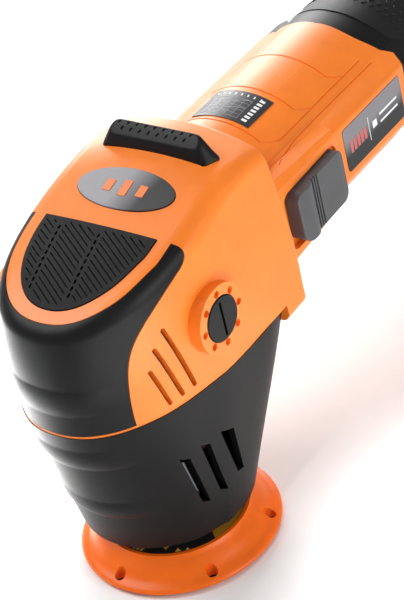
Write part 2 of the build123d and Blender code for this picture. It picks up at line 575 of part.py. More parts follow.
with BuildPart() as head_housing:
    add(HEAD_OUTER)
    add(HEAD_INNER, mode=Mode.SUBTRACT)
    split(bisect_by=Plane.XY.offset(SEAM_Z), keep=Keep.TOP)
    split(bisect_by=Plane.YZ.offset(HEAD_REAR), keep=Keep.TOP)
    # seat of the upper motor bearing, hanging from the roof
    with BuildPart(mode=Mode.PRIVATE) as bearing_hub:
        with BuildSketch(Plane.XY.offset(UPPER_BEARING[0] - 0.6)):
            Circle(14.0)
        extrude(amount=40)
        for turn in BOSS_ANGLES:
            with Locations(Location((0, 0, 0), (0, 0, turn))):
                with Locations((20, 0, 124)):
                    Box(40, 2.4, 20, align=(Align.CENTER, Align.CENTER, Align.MIN))
        add(HEAD_OUTER, mode=Mode.INTERSECT)
        with BuildSketch(Plane.XY.offset(100)):
            Circle(11.0)
        extrude(amount=UPPER_BEARING[1] - 100, mode=Mode.SUBTRACT)
        with BuildSketch(Plane.XY.offset(100)):
            Circle(6.0)
        extrude(amount=25, mode=Mode.SUBTRACT)
    add(bearing_hub.part)
    # columns that carry the bearing bracket, tied to the wall by ribs
    with BuildPart(mode=Mode.PRIVATE) as columns:
        for turn in BOSS_ANGLES:
            with Locations(Location((0, 0, 0), (0, 0, turn))):
                with Locations((BOSS_RING, 0, BRACKET_Z[1])):
                    Cylinder(3.2, 40, align=(Align.CENTER, Align.CENTER, Align.MIN))
            column_x = BOSS_RING * cos(radians(turn))
            column_y = BOSS_RING * sin(radians(turn))
            rib_reach = 24.0 if column_y > 0 else -24.0
            with Locations((column_x, column_y + rib_reach / 2, SEAM_Z + 2)):
                Box(2.6, 24.0, 16, align=(Align.CENTER, Align.CENTER, Align.MIN))
        add(HEAD_OUTER, mode=Mode.INTERSECT)
    add(columns.part)
    for turn in BOSS_ANGLES:
        with Locations(Location((0, 0, 0), (0, 0, turn))):
            with Locations((BOSS_RING, 0, BRACKET_Z[1])):
                Cylinder(3.2, SEAM_Z - BRACKET_Z[1], align=(Align.CENTER, Align.CENTER, Align.MIN))
            with Locations((BOSS_RING, 0, BRACKET_Z[1])):
                Cylinder(1.75, 30, align=(Align.CENTER, Align.CENTER, Align.CENTER), mode=Mode.SUBTRACT)
    # raised rings round the brush caps, with their sockets
    for side in (1, -1):
        with BuildSketch(cap_plane(SPOT_FACE, side)):
            Circle(SPOT_R)
        extrude(amount=-9)
        with BuildSketch(brush_plane(30, side)):
            Circle(SOCKET_R + 1.8)
        extrude(amount=9)
        with BuildSketch(cap_plane(SPOT_FACE, side)):
            Circle(CAP_R + 0.2)
            with PolarLocations(CAP_R + 1.75, 8):
                Circle(1.45)
        extrude(amount=-POCKET_T, mode=Mode.SUBTRACT)
        with BuildSketch(brush_plane(42, side)):
            Circle(SOCKET_R)
        extrude(amount=-14, mode=Mode.SUBTRACT)
    add(INLET_CUTS, mode=Mode.SUBTRACT)
    # seats of the grip, the pad and the badge
    with BuildPart(mode=Mode.PRIVATE) as grip_seat:
        add(grip_region(0))
        add(GRIP_INNER, mode=Mode.SUBTRACT)
    add(grip_seat.part, mode=Mode.SUBTRACT)
    with BuildPart(mode=Mode.PRIVATE) as pad_seat:
        extrude(half_ring(PAD_CENTER_X, PAD_REACH, PAD_HALF, 2.15), amount=200)
        with BuildSketch():
            with Locations((BADGE_X, 0)):
                Ellipse(BADGE_WIDTH, BADGE_LENGTH)
        extrude(amount=200)
        add(HEAD_RECESS, mode=Mode.SUBTRACT)
    add(pad_seat.part, mode=Mode.SUBTRACT)
    for y, z in FLANGE_SCREWS:
        with BuildSketch(Plane.YZ.offset(HEAD_REAR)):
            with Locations((y, z)):
                Circle(3.6)
        extrude(amount=9)
        with BuildSketch(Plane.YZ.offset(HEAD_REAR)):
            with Locations((y, z)):
                Circle(1.75)
        extrude(amount=8, mode=Mode.SUBTRACT)
    for x, y in SHROUD_SCREWS:
        with BuildSketch(Plane.XY.offset(SEAM_Z)):
            with Locations((x, y)):
                Circle(3.6)
        extrude(amount=12)
        with BuildPart(mode=Mode.PRIVATE) as boss_rib:
            with Locations((x, y * 1.32, SEAM_Z)):
                Box(3.0, 16.0, 12.0, align=(Align.CENTER, Align.CENTER, Align.MIN))
            add(HEAD_OUTER, mode=Mode.INTERSECT)
        add(boss_rib.part)
        with BuildSketch(Plane.XY.offset(SEAM_Z)):
            with Locations((x, y)):
                Circle(1.75)
        extrude(amount=10, mode=Mode.SUBTRACT)
head_housing.part.label = "head_housing"
export_step(head_housing.part, "parts/head_housing.step")

with BuildPart() as front_grip:
    add(HEAD_OUTER)
    add(GRIP_INNER, mode=Mode.SUBTRACT)
    add(grip_region(SPLIT_GAP), mode=Mode.INTERSECT)
front_grip.part.label = "front_grip"
export_step(front_grip.part, "parts/front_grip.step")

with BuildPart() as top_grip_pad:
    pad = half_ring(PAD_CENTER_X + SPLIT_GAP, PAD_REACH - 2 * SPLIT_GAP, PAD_HALF - SPLIT_GAP, 2.15)
    extrude(pad, amount=200)
    add(HEAD_PROUD, mode=Mode.INTERSECT)
    add(HEAD_RECESS, mode=Mode.SUBTRACT)
top_grip_pad.part.label = "top_grip_pad"
export_step(top_grip_pad.part, "parts/top_grip_pad.step")

with BuildPart() as badge_plate:
    with BuildSketch():
        with Locations((BADGE_X, 0)):
            Ellipse(BADGE_WIDTH - SPLIT_GAP, BADGE_LENGTH - SPLIT_GAP)
    extrude(amount=200)
    add(HEAD_PROUD, mode=Mode.INTERSECT)
    add(HEAD_RECESS, mode=Mode.SUBTRACT)
badge_plate.part.label = "badge_plate"
export_step(badge_plate.part, "parts/badge_plate.step")

with BuildPart() as badge_bars:
    with BuildSketch():
        for place in (-1, 0, 1):
            with Locations((BADGE_X, place * 7.5)):
                Rectangle(7.0 - 2 * abs(place), 3.4)
    extrude(amount=200)
    add(head_form(-0.8, 8.8), mode=Mode.INTERSECT)
    add(HEAD_PROUD, mode=Mode.SUBTRACT)
badge_bars.part.label = "badge_bars"
export_step(badge_bars.part, "parts/badge_bars.step")

# Low rubber bar across the rear of the head; it rests on the roof
# Each level of the bar: height, front and rear x, half width in front and behind
BUMPER_LEVELS = [(140.0, -36.9, -47.0, 27.0, 32.2), (156.0, -41.4, -46.2, 18.8, 20.0)]
with BuildPart() as top_bumper:
    for z, front, rear, front_half, rear_half in BUMPER_LEVELS:
        with BuildSketch(Plane.XY.offset(z)):
            Polygon((front, front_half), (rear, rear_half), (rear, -rear_half), (front, -front_half),
                    align=None)
    loft()
    corners = [edge for edge in top_bumper.edges() if 147 < edge.center().Z < 149]
    fillet(corners, 2.2)
    fillet(top_bumper.faces().sort_by(Axis.Z)[-1].edges(), 1.2)
    add(HEAD_OUTER, mode=Mode.SUBTRACT)
top_bumper.part.label = "top_bumper"
export_step(top_bumper.part, "parts/top_bumper.step")

# ---- lower shroud ----
with BuildPart() as lower_shroud:
    add(SHROUD_OUTER)
    add(SHROUD_INNER, mode=Mode.SUBTRACT)
    with BuildPart(mode=Mode.PRIVATE) as screw_posts:
        for x, y in SHROUD_SCREWS:
            with BuildSketch(Plane.XY.offset(40)):
                with Locations((x, y)):
                    Circle(5.2)
            extrude(amount=SEAM_Z - 40)
        add(SHROUD_OUTER, mode=Mode.INTERSECT)
    add(screw_posts.part)
    for x, y in SHROUD_SCREWS:
        with BuildSketch(Plane.XY.offset(20)):
            with Locations((x, y)):
                Circle(3.6)
        extrude(amount=SEAM_Z - 6 - 20, mode=Mode.SUBTRACT)
        with BuildSketch(Plane.XY.offset(60)):
            with Locations((x, y)):
                Circle(1.9)
        extrude(amount=30, mode=Mode.SUBTRACT)
    add(louvre_cutters(), mode=Mode.SUBTRACT)
    with Locations((HEAD_REAR, 0, FLANGE_Z)):
        Box(40, 100, 40, align=(Align.MAX, Align.CENTER, Align.MIN), mode=Mode.SUBTRACT)
lower_shroud.part.label = "lower_shroud"
export_step(lower_shroud.part, "parts/lower_shroud.step")

with BuildPart() as shroud_screws:
    for x, y in SHROUD_SCREWS:
        with Locations((x, y, SEAM_Z - 6)):
            Cylinder(3.4, 2.4, align=(Align.CENTER, Align.CENTER, Align.MAX))
            Cylinder(1.7, 14.0, align=(Align.CENTER, Align.CENTER, Align.MIN))
shroud_screws.part.label = "shroud_screws"
export_step(shroud_screws.part, "parts/shroud_screws.step")

# ---- brush gear ----
def both_sides(make):
    """Make a piece of the brush gear for the left and the right side."""
    return [make(1), make(-1)]


def brush_cap(side):
    with BuildPart(cap_plane(CAP_FACE, side)) as cap:
        Cylinder(CAP_R, CAP_T, align=(Align.CENTER, Align.CENTER, Align.MAX))
        outward = Axis(origin=(0, 0, 0), direction=(0, side, 0))
        chamfer(cap.faces().sort_by(outward)[-1].edges(), 0.4)
        with BuildSketch(cap_plane(CAP_FACE - CAP_T, side)):
            Circle(PLUG_R)
        extrude(amount=-PLUG_T)
        with BuildSketch(cap_plane(CAP_FACE, side)):
            Rectangle(1.3, 14.8)
        extrude(amount=-1.5, mode=Mode.SUBTRACT)
    return cap.part


def brush_holder(side):
    with BuildPart() as holder:
        with BuildSketch(brush_plane(11.2, side)):
            Circle(5.4)
            Rectangle(5.2, 7.2, mode=Mode.SUBTRACT)
        extrude(amount=25.0)
        with BuildSketch(brush_plane(30.4, side)):
            Circle(6.15)
            Rectangle(5.2, 7.2, mode=Mode.SUBTRACT)
        extrude(amount=5.8)
    return holder.part


def carbon_brush(side):
    with BuildPart() as brush:
        with BuildSketch(brush_plane(COMMUTATOR_R + 0.1, side)):
            Rectangle(5.0, 7.0)
        extrude(amount=14.0)
    return brush.part


SPRING_COILS = 6


def brush_spring(side):
    low = COMMUTATOR_R + 14.4
    high = CAP_FACE - CAP_T - PLUG_T - 0.5
    wire = 0.35
    pitch = (high - low - 2 * wire) / SPRING_COILS
    with BuildPart() as spring:
        for coil in range(SPRING_COILS + 1):
            with BuildSketch(brush_plane(low + wire + coil * pitch - 0.3, side)):
                Circle(2.3)
                Circle(1.6, mode=Mode.SUBTRACT)
            extrude(amount=0.6)
        with BuildSketch(brush_plane(low, side)):
            with Locations((1.95, 0)):
                Circle(0.3)
        extrude(amount=high - low)
    return spring.part


left_cap, right_cap = both_sides(brush_cap)
left_cap.label = "brush_cap_left"
export_step(left_cap, "parts/brush_cap_left.step")
right_cap.label = "brush_cap_right"
export_step(right_cap, "parts/brush_cap_right.step")
brush_holders = Compound(label="brush_holders", children=both_sides(brush_holder))
export_step(brush_holders, "parts/brush_holders.step")
carbon_brushes = Compound(label="carbon_brushes", children=both_sides(carbon_brush))
export_step(carbon_brushes, "parts/carbon_brushes.step")
brush_springs = Compound(label="brush_springs", children=both_sides(brush_spring))
export_step(brush_springs, "parts/brush_springs.step")

with BuildPart() as field_coils:
    for pole in (0, 180):
        for low in (CORE_Z[0] - COIL_END, CORE_Z[1]):
            with BuildSketch(Plane.XY.offset(low)):
                with BuildLine():
                    CenterArc((0, 0), 23.2, pole - POLE_HALF, 2 * POLE_HALF)
                    CenterArc((0, 0), 18.6, pole - POLE_HALF, 2 * POLE_HALF)
                    for turn in (pole - POLE_HALF, pole + POLE_HALF):
                        across = (cos(radians(turn)), sin(radians(turn)))
                        Line((18.6 * across[0], 18.6 * across[1]), (23.2 * across[0], 23.2 * across[1]))
                make_face()
            extrude(amount=COIL_END)
        with BuildSketch(Plane.XY.offset(CORE_Z[0] - COIL_END)):
            for turn in (pole - POLE_HALF, pole + POLE_HALF):
                with Locations((20.8 * cos(radians(turn)), 20.8 * sin(radians(turn)))):
                    Rectangle(4.6, 8.2, rotation=turn)
        extrude(amount=CORE_Z[1] - CORE_Z[0] + 2 * COIL_END)
field_coils.part.label = "field_coils"
export_step(field_coils.part, "parts/field_coils.step")

# ---- neck ----
SPINE_Y = 34.3            # flat side of the neck, where the label sits
# Raised pad round the slide switch, as sections y, z at its front and rear
POD_FRONT = [(28, 86), (34.6, 88.0), (36.4, 90.0), (36.4, 119.4), (35.6, 122.4), (33.2, 125.8), (28, 127)]
POD_REAR = [(28, 88), (33.8, 90.5), (34.8, 92.0), (34.8, 119.2), (34.4, 121.4), (33.2, 123.2), (28, 124.5)]
NECK_WALL = 2.6
SWITCH_SLOT = (-101.6, -62.4, 93.4, 118.8)    # low x, high x, low z, high z
KNOB = (-100.0, -66.6, 95.2, 118.2)
DIAL_X, DIAL_Y, DIAL_R = -122.0, -26.9, 10.6
NECK_TAIL = -175.0
PANEL_LINES = (-77.0, -100.4, -124.0)    # x of the fine grooves across the neck
PANEL_LINE_END = 19.4                    # half width of a groove
COVER_X = (-140.0, -66.0)
COVER_TOP = 84.0


SLEEVE_LINE = [(-150.0, 32.0, 32.2), (-165.0, 31.2, 31.6), (-190.0, 29.4, 30.4), (-215.0, 28.6, 29.6),
               (GRIP_END, 29.6, 30.2)]
SLEEVE_T = 2.4
CORE_WALL = 1.8


def sleeve_form(inset):
    """Oval rear handle, drawn in by inset."""
    with BuildPart() as form:
        for x, half_width, half_height in SLEEVE_LINE:
            with BuildSketch(Plane.YZ.offset(x)):
                with Locations((0, NECK_Z)):
                    Ellipse(half_width - inset, half_height - inset)
        loft()
    return form.part


def neck_section(inset):
    """Round neck with a flat on each side, drawn in by inset."""
    with BuildSketch(Plane.YZ) as section:
        with Locations((0, NECK_Z)):
            Circle(NECK_R)
        for side in (1, -1):
            with BuildLine():
                Polyline((0, 127.0), (side * 23.0, 127.0), (side * SPINE_Y, 121.6), (side * SPINE_Y, 96.8),
                         (side * 28.0, 90.5), (0, 90.5), (0, 127.0))
            make_face()
        fillet(section.vertices().filter_by(lambda corner: abs(corner.Y) > SPINE_Y - 0.1), 2.5)
        if inset:
            offset(amount=-inset)
    return section.sketch


def neck_bar(inset, front, rear):
    """The neck section run along X."""
    with BuildPart() as bar:
        extrude(neck_section(inset), amount=front, dir=(1, 0, 0))
        extrude(neck_section(inset), amount=-rear, dir=(-1, 0, 0))
    with BuildPart() as cut:
        add(bar.part)
        with Locations(((front + rear) / 2, 0, NECK_Z)):
            Box(front - rear, 200, 200, mode=Mode.INTERSECT)
    return cut.part


def behind(top_x, side_x, ear_x):
    """Space behind the wavy rear edge of the neck, seen from above."""
    with BuildSketch(Plane.XY) as plan:
        with BuildLine():
            Spline((top_x, 0), (top_x - 0.4, 9), (top_x - 1.2, 17.5), (side_x, 23.5), (ear_x, 29))
            Polyline((ear_x, 29), (ear_x + 3.0, 34.5), (ear_x + 3.0, 60), (-300, 60), (-300, 0), (top_x, 0))
        make_face()
        mirror(about=Plane.XZ)
    with BuildPart() as space:
        extrude(plan.sketch, amount=250)
    return space.part


BEHIND_NECK = behind(NECK_END, -153.5, -157.0)
BEHIND_TRIM = behind(-159.5, -163.0, -168.0)
NECK_BORE = neck_bar(NECK_WALL, FLANGE_REAR + 8, NECK_TAIL)
MAIN_NECK = neck_bar(0, FLANGE_REAR, NECK_TAIL)

with BuildPart() as neck_housing:
    add(HEAD_OUTER)
    with Locations((HEAD_REAR, 0, FLANGE_Z)):
        Box(HEAD_REAR - FLANGE_REAR, 100, 100, align=(Align.MAX, Align.CENTER, Align.MIN),
            mode=Mode.INTERSECT)
    keel = [edge for edge in neck_housing.faces().sort_by(Axis.Z)[0].edges() if abs(edge.center().Y) > 20]
    fillet(keel, 4.0)
    fillet(neck_housing.faces().sort_by(Axis.X)[0].edges(), 1.4)
    with BuildPart(mode=Mode.PRIVATE) as flange_hollow:
        add(HEAD_INNER)
        with Locations((HEAD_REAR, 0, FLANGE_Z + WALL)):
            Box(HEAD_REAR - FLANGE_REAR - 3.0, 100, 100, align=(Align.MAX, Align.CENTER, Align.MIN),
                mode=Mode.INTERSECT)
    add(flange_hollow.part, mode=Mode.SUBTRACT)
    for y, z in FLANGE_SCREWS:
        with BuildSketch(Plane.YZ.offset(FLANGE_REAR + 1)):
            with Locations((y, z)):
                Circle(4.2)
        extrude(amount=HEAD_REAR - FLANGE_REAR - 1)
    with BuildPart(mode=Mode.PRIVATE) as collar:
        with BuildSketch(Plane.YZ.offset(FLANGE_REAR)):
            with Locations((0, NECK_Z)):
                Circle(37.5)
        with BuildSketch(Plane.YZ.offset(FLANGE_REAR - 11)):
            with Locations((0, NECK_Z)):
                Circle(NECK_R)
        loft()
        add(HEAD_OUTER, mode=Mode.INTERSECT)
    add(collar.part)
    add(MAIN_NECK)
    # pad round the slide switch
    with BuildPart(mode=Mode.PRIVATE) as pod:
        for x, outline in ((-58.0, POD_FRONT), (-103.0, POD_REAR)):
            with BuildSketch(Plane.YZ.offset(x)):
                Polygon(*outline, align=None)
        loft()
    add(pod.part)
    add(NECK_BORE, mode=Mode.SUBTRACT)
    with BuildSketch(Plane.XZ.offset(-33.2)):
        with Locations(((SWITCH_SLOT[0] + SWITCH_SLOT[1]) / 2, (SWITCH_SLOT[2] + SWITCH_SLOT[3]) / 2)):
            RectangleRounded(SWITCH_SLOT[1] - SWITCH_SLOT[0], SWITCH_SLOT[3] - SWITCH_SLOT[2], 4.5)
    extrude(amount=-10, mode=Mode.SUBTRACT)
    with Locations((-86.0, 28, NECK_Z)):
        Box(22, 12, 6.0, align=(Align.CENTER, Align.MIN, Align.CENTER), mode=Mode.SUBTRACT)
    with Locations((DIAL_X, -40, NECK_Z)):
        Box(22.4, 14, 6.4, align=(Align.CENTER, Align.MIN, Align.CENTER), mode=Mode.SUBTRACT)
    for x in PANEL_LINES:
        with BuildPart(mode=Mode.PRIVATE) as line:
            add(neck_bar(0, x + 0.35, x - 0.35))
            add(neck_bar(0.45, x + 0.35, x - 0.35), mode=Mode.SUBTRACT)
            with Locations((x, 0, NECK_Z)):
                Box(10, 2 * PANEL_LINE_END, 60, align=(Align.CENTER, Align.CENTER, Align.MIN),
                    mode=Mode.INTERSECT)
        add(line.part, mode=Mode.SUBTRACT)
    for y, z in FLANGE_SCREWS:
        with BuildSketch(Plane.YZ.offset(HEAD_REAR)):
            with Locations((y, z)):
                Circle(1.9)
        extrude(amount=-20, mode=Mode.SUBTRACT)
        with BuildSketch(Plane.YZ.offset(FLANGE_REAR + 4)):
            with Locations((y, z)):
                Circle(3.4)
        extrude(amount=-20, mode=Mode.SUBTRACT)
    add(BEHIND_NECK, mode=Mode.SUBTRACT)
    add(sleeve_form(SLEEVE_T), mode=Mode.SUBTRACT)
    with Locations(((COVER_X[0] + COVER_X[1]) / 2, 0, COVER_TOP)):
        Box(COVER_X[1] - COVER_X[0], 80, 40, align=(Align.CENTER, Align.CENTER, Align.MAX),
            mode=Mode.SUBTRACT)
neck_housing.part.label = "neck_housing"
export_step(neck_housing.part, "parts/neck_housing.step")

with BuildPart() as neck_bottom_cover:
    add(MAIN_NECK)
    add(NECK_BORE, mode=Mode.SUBTRACT)
    with Locations(((COVER_X[0] + COVER_X[1]) / 2, 0, COVER_TOP - SPLIT_GAP)):
        Box(COVER_X[1] - COVER_X[0] - 2 * SPLIT_GAP, 80, 40, align=(Align.CENTER, Align.CENTER, Align.MAX),
            mode=Mode.INTERSECT)
    for x in (-121.0, -101.0):
        with Locations((x, 12, 76.0)):
            Box(2.4, 14, 22, align=(Align.CENTER, Align.CENTER, Align.MIN))
neck_bottom_cover.part.label = "neck_bottom_cover"
export_step(neck_bottom_cover.part, "parts/neck_bottom_cover.step")

with BuildPart() as flange_screws:
    for y, z in FLANGE_SCREWS:
        with BuildSketch(Plane.YZ.offset(FLANGE_REAR + 4)):
            with Locations((y, z)):
                Circle(3.2)
        extrude(amount=-2.6)
        with BuildSketch(Plane.YZ.offset(FLANGE_REAR + 4)):
            with Locations((y, z)):
                Circle(1.7)
        extrude(amount=15.5)
flange_screws.part.label = "flange_screws"
export_step(flange_screws.part, "parts/flange_screws.step")

with BuildPart() as chart_label:
    add(neck_bar(-0.3, -79.2, -97.2))
    add(neck_bar(0, -79.2, -97.2), mode=Mode.SUBTRACT)
    with Locations((-88.2, 0, 120)):
        Box(40, 26.4, 40, align=(Align.CENTER, Align.CENTER, Align.MIN), mode=Mode.INTERSECT)
chart_label.part.label = "chart_label"
export_step(chart_label.part, "parts/chart_label.step")

LABEL = (-150.0, -107.6, 100.0, 119.0)
with BuildPart() as side_label:
    with BuildSketch(Plane.XZ.offset(-SPINE_Y)):
        with Locations(((LABEL[0] + LABEL[1]) / 2, (LABEL[2] + LABEL[3]) / 2)):
            RectangleRounded(LABEL[1] - LABEL[0], LABEL[3] - LABEL[2], 1.5)
    extrude(amount=-0.3)
side_label.part.label = "side_label"
export_step(side_label.part, "parts/side_label.step")

# ---- slide switch ----
KNOB_BASE_Y = 33.5
RIDGE_X = (-77.6, -79.2, -80.8)
with BuildPart() as slide_switch:
    with BuildSketch(Plane.XZ.offset(-KNOB_BASE_Y)):
        with Locations(((KNOB[0] + KNOB[1]) / 2, (KNOB[2] + KNOB[3]) / 2)):
            RectangleRounded(KNOB[1] - KNOB[0], KNOB[3] - KNOB[2], 4.2)
    extrude(amount=-9)
    with BuildPart(mode=Mode.PRIVATE) as knob_side:
        with BuildSketch():
            with BuildLine():
                Polyline((KNOB[0] - 1, KNOB_BASE_Y), (KNOB[0] - 1, 38.4), (-96.0, 39.0), (-81.4, 39.4))
                Line((-81.4, 39.4), (-76.9, 39.6))
                Spline((-76.9, 39.6), (-73.8, 41.0), (-70.4, 40.9), (KNOB[1] + 1, 39.4))
                Polyline((KNOB[1] + 1, 39.4), (KNOB[1] + 1, KNOB_BASE_Y), (KNOB[0] - 1, KNOB_BASE_Y))
            make_face()
        extrude(amount=200)
    add(knob_side.part, mode=Mode.INTERSECT)
    fillet(slide_switch.faces().sort_by(Axis.Z)[-1].edges().sort_by(Axis.Y)[-3:], 0.6)
    for x in RIDGE_X:
        with Locations((x, 38.7, KNOB[2])):
            Box(0.9, 3, 60, align=(Align.CENTER, Align.MIN, Align.CENTER), mode=Mode.SUBTRACT)
slide_switch.part.label = "slide_switch"
export_step(slide_switch.part, "parts/slide_switch.step")

with BuildPart() as switch_rod:
    with Locations((-88.0, 20.5, NECK_Z)):
        Box(8, 13.0, 4.6, align=(Align.CENTER, Align.MIN, Align.CENTER))
    with Locations((-84.0, 20.5, NECK_Z)):
        Box(30, 4, 4.6, align=(Align.MAX, Align.MIN, Align.CENTER))
switch_rod.part.label = "switch_rod"
export_step(switch_rod.part, "parts/switch_rod.step")

with BuildPart() as switch_body:
    with Locations((-111.0, 5.0, 98.0)):
        Box(26, 15, 16, align=(Align.CENTER, Align.MIN, Align.MIN))
    fillet(switch_body.edges().filter_by(Axis.Y), 1.0)
switch_body.part.label = "switch_body"
export_step(switch_body.part, "parts/switch_body.step")

# ---- speed dial ----
with BuildPart(Plane.XY.offset(NECK_Z - 2.5)) as speed_dial:
    with Locations((DIAL_X, DIAL_Y, 0)):
        Cylinder(DIAL_R, 5.0, align=(Align.CENTER, Align.CENTER, Align.MIN))
        Hole(2.0 + RUN_GAP)
    with BuildSketch(Plane.XY.offset(NECK_Z - 2.5)):
        with Locations((DIAL_X, DIAL_Y)):
            with PolarLocations(DIAL_R, 30):
                Rectangle(1.0, 0.9)
    extrude(amount=5.0, mode=Mode.SUBTRACT)
speed_dial.part.label = "speed_dial"
export_step(speed_dial.part, "parts/speed_dial.step")

with BuildPart() as dial_pot:
    with Locations((DIAL_X, DIAL_Y + 3, NECK_Z - 8.0)):
        Box(13, 11, 5.0, align=(Align.CENTER, Align.CENTER, Align.MIN))
    with Locations((DIAL_X, DIAL_Y, NECK_Z - 8.0)):
        Cylinder(2.0, 11.0, align=(Align.CENTER, Align.CENTER, Align.MIN))
dial_pot.part.label = "dial_pot"
export_step(dial_pot.part, "parts/dial_pot.step")

# ---- rear handle ----
# Each place along the rubber sleeve: x, half width, half height
with BuildPart() as grip_trim_ring:
    add(neck_bar(0.5, NECK_END, NECK_TAIL))
    add(NECK_BORE, mode=Mode.SUBTRACT)
    add(sleeve_form(SLEEVE_T), mode=Mode.SUBTRACT)
    with Locations((NECK_END, 0, NECK_Z)):
        Box(6, 100, 100, align=(Align.MIN, Align.CENTER, Align.CENTER), mode=Mode.SUBTRACT)
    add(BEHIND_NECK, mode=Mode.INTERSECT)
    add(BEHIND_TRIM, mode=Mode.SUBTRACT)
grip_trim_ring.part.label = "grip_trim_ring"
export_step(grip_trim_ring.part, "parts/grip_trim_ring.step")

with BuildPart() as rear_grip:
    add(sleeve_form(0))
    add(sleeve_form(SLEEVE_T), mode=Mode.SUBTRACT)
    add(BEHIND_TRIM, mode=Mode.INTERSECT)
rear_grip.part.label = "rear_grip"
export_step(rear_grip.part, "parts/rear_grip.step")

with BuildPart() as handle_core:
    add(sleeve_form(SLEEVE_T + 0.05))
    with BuildSketch(Plane.YZ.offset(-150.0)):
        with Locations((0, NECK_Z)):
            Ellipse(29.3, 29.3)
    extrude(amount=8.0)
    add(sleeve_form(SLEEVE_T + 0.05 + CORE_WALL), mode=Mode.SUBTRACT)
    with BuildSketch(Plane.YZ.offset(-150.0)):
        with Locations((0, NECK_Z)):
            Circle(27.4)
    extrude(amount=8.0, mode=Mode.SUBTRACT)
handle_core.part.label = "handle_core"
export_step(handle_core.part, "parts/handle_core.step")

with BuildPart() as rear_cap:
    with BuildSketch(Plane.YZ.offset(GRIP_END)):
        with Locations((0, NECK_Z)):
            Ellipse(29.4, 30.0)
    with BuildSketch(Plane.YZ.offset(TOOL_END)):
        with Locations((0, NECK_Z)):
            Ellipse(25.5, 26.0)
    loft()
    fillet(rear_cap.faces().sort_by(Axis.X)[0].edges(), 3.0)
    with BuildSketch(Plane.YZ.offset(GRIP_END)):
        with Locations((0, NECK_Z)):
            Ellipse(24.0, 24.5)
    extrude(amount=-7.5, mode=Mode.SUBTRACT)
    for y in (-17, 17):
        with BuildSketch(Plane.YZ.offset(GRIP_END + 10)):
            with Locations((y, NECK_Z)):
                Circle(3.6)
        extrude(amount=-18)
        with BuildSketch(Plane.YZ.offset(TOOL_END)):
            with Locations((y, NECK_Z)):
                Circle(1.9)
        extrude(amount=20, mode=Mode.SUBTRACT)
        with BuildSketch(Plane.YZ.offset(TOOL_END)):
            with Locations((y, NECK_Z)):
                Circle(3.3)
        extrude(amount=3, mode=Mode.SUBTRACT)
    with BuildSketch(Plane.YZ.offset(GRIP_END)):
        with Locations((0, NECK_Z)):
            Circle(7.0)
    extrude(amount=-20, mode=Mode.SUBTRACT)
rear_cap.part.label = "rear_cap"
export_step(rear_cap.part, "parts/rear_cap.step")

with BuildPart() as cap_screws:
    for y in (-17, 17):
        with BuildSketch(Plane.YZ.offset(TOOL_END + 3)):
            with Locations((y, NECK_Z)):
                Circle(3.1)
        extrude(amount=-2.4)
        with BuildSketch(Plane.YZ.offset(TOOL_END + 3)):
            with Locations((y, NECK_Z)):
                Circle(1.8)
        extrude(amount=16)
cap_screws.part.label = "cap_screws"
export_step(cap_screws.part, "parts/cap_screws.step")

# Rubber bush where the supply cord enters; the cord itself is not part of this object
INLET_R = 3.6
with BuildPart() as cord_gland:
    with BuildSketch(Plane.YZ.offset(TOOL_END - 2)):
        with Locations((0, NECK_Z)):
            Circle(9.0)
    extrude(amount=2)
    with BuildSketch(Plane.YZ.offset(TOOL_END)):
        with Locations((0, NECK_Z)):
            Circle(7.0)
    extrude(amount=10)
    with BuildSketch(Plane.YZ.offset(TOOL_END - 2)):
        with Locations((0, NECK_Z)):
            Circle(INLET_R)
    extrude(amount=12, mode=Mode.SUBTRACT)
cord_gland.part.label = "cord_gland"
export_step(cord_gland.part, "parts/cord_gland.step")

with BuildPart() as speed_controller:
    with Locations((-178, 0, NECK_Z - 6)):
        Box(44, 30, 1.6, align=(Align.CENTER, Align.CENTER, Align.MIN))
    with Locations((-178, 0, NECK_Z - 4.4)):
        Box(34, 22, 8, align=(Align.CENTER, Align.CENTER, Align.MIN))
speed_controller.part.label = "speed_controller"
export_step(speed_controller.part, "parts/speed_controller.step")

with BuildPart() as terminal_block:
    with Locations((-218, 0, NECK_Z - 6)):
        Box(16, 24, 11, align=(Align.CENTER, Align.CENTER, Align.MIN))
    for y in (-6, 6):
        with Locations((-218, y, NECK_Z + 5)):
            Cylinder(2.4, 3, align=(Align.CENTER, Align.CENTER, Align.MAX), mode=Mode.SUBTRACT)
terminal_block.part.label = "terminal_block"
export_step(terminal_block.part, "parts/terminal_block.step")
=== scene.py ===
"""Looks of the dual action polisher, built around its CAD frame."""

import json
import math

import bmesh
import bpy
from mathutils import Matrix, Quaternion, Vector
from mathutils.bvhtree import BVHTree
from mathutils.geometry import barycentric_transform
from mathutils.kdtree import KDTree


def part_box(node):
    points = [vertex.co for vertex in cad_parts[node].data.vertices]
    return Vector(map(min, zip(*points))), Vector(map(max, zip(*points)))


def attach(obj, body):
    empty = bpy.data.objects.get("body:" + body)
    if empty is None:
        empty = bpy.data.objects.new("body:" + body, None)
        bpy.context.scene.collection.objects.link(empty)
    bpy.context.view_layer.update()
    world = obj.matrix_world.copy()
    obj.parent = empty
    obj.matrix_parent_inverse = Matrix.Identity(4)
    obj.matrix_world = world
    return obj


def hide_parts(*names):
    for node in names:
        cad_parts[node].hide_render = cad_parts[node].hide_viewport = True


MM = 0.001                        # one millimetre in metres

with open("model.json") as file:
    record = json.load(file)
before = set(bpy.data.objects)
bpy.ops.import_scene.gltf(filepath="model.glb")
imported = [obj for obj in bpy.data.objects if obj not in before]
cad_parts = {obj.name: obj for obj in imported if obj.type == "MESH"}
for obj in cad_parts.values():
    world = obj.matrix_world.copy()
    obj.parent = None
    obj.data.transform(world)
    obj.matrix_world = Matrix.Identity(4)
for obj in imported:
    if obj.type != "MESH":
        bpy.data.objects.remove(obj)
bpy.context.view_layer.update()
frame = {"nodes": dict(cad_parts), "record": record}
NODES = frame["nodes"]


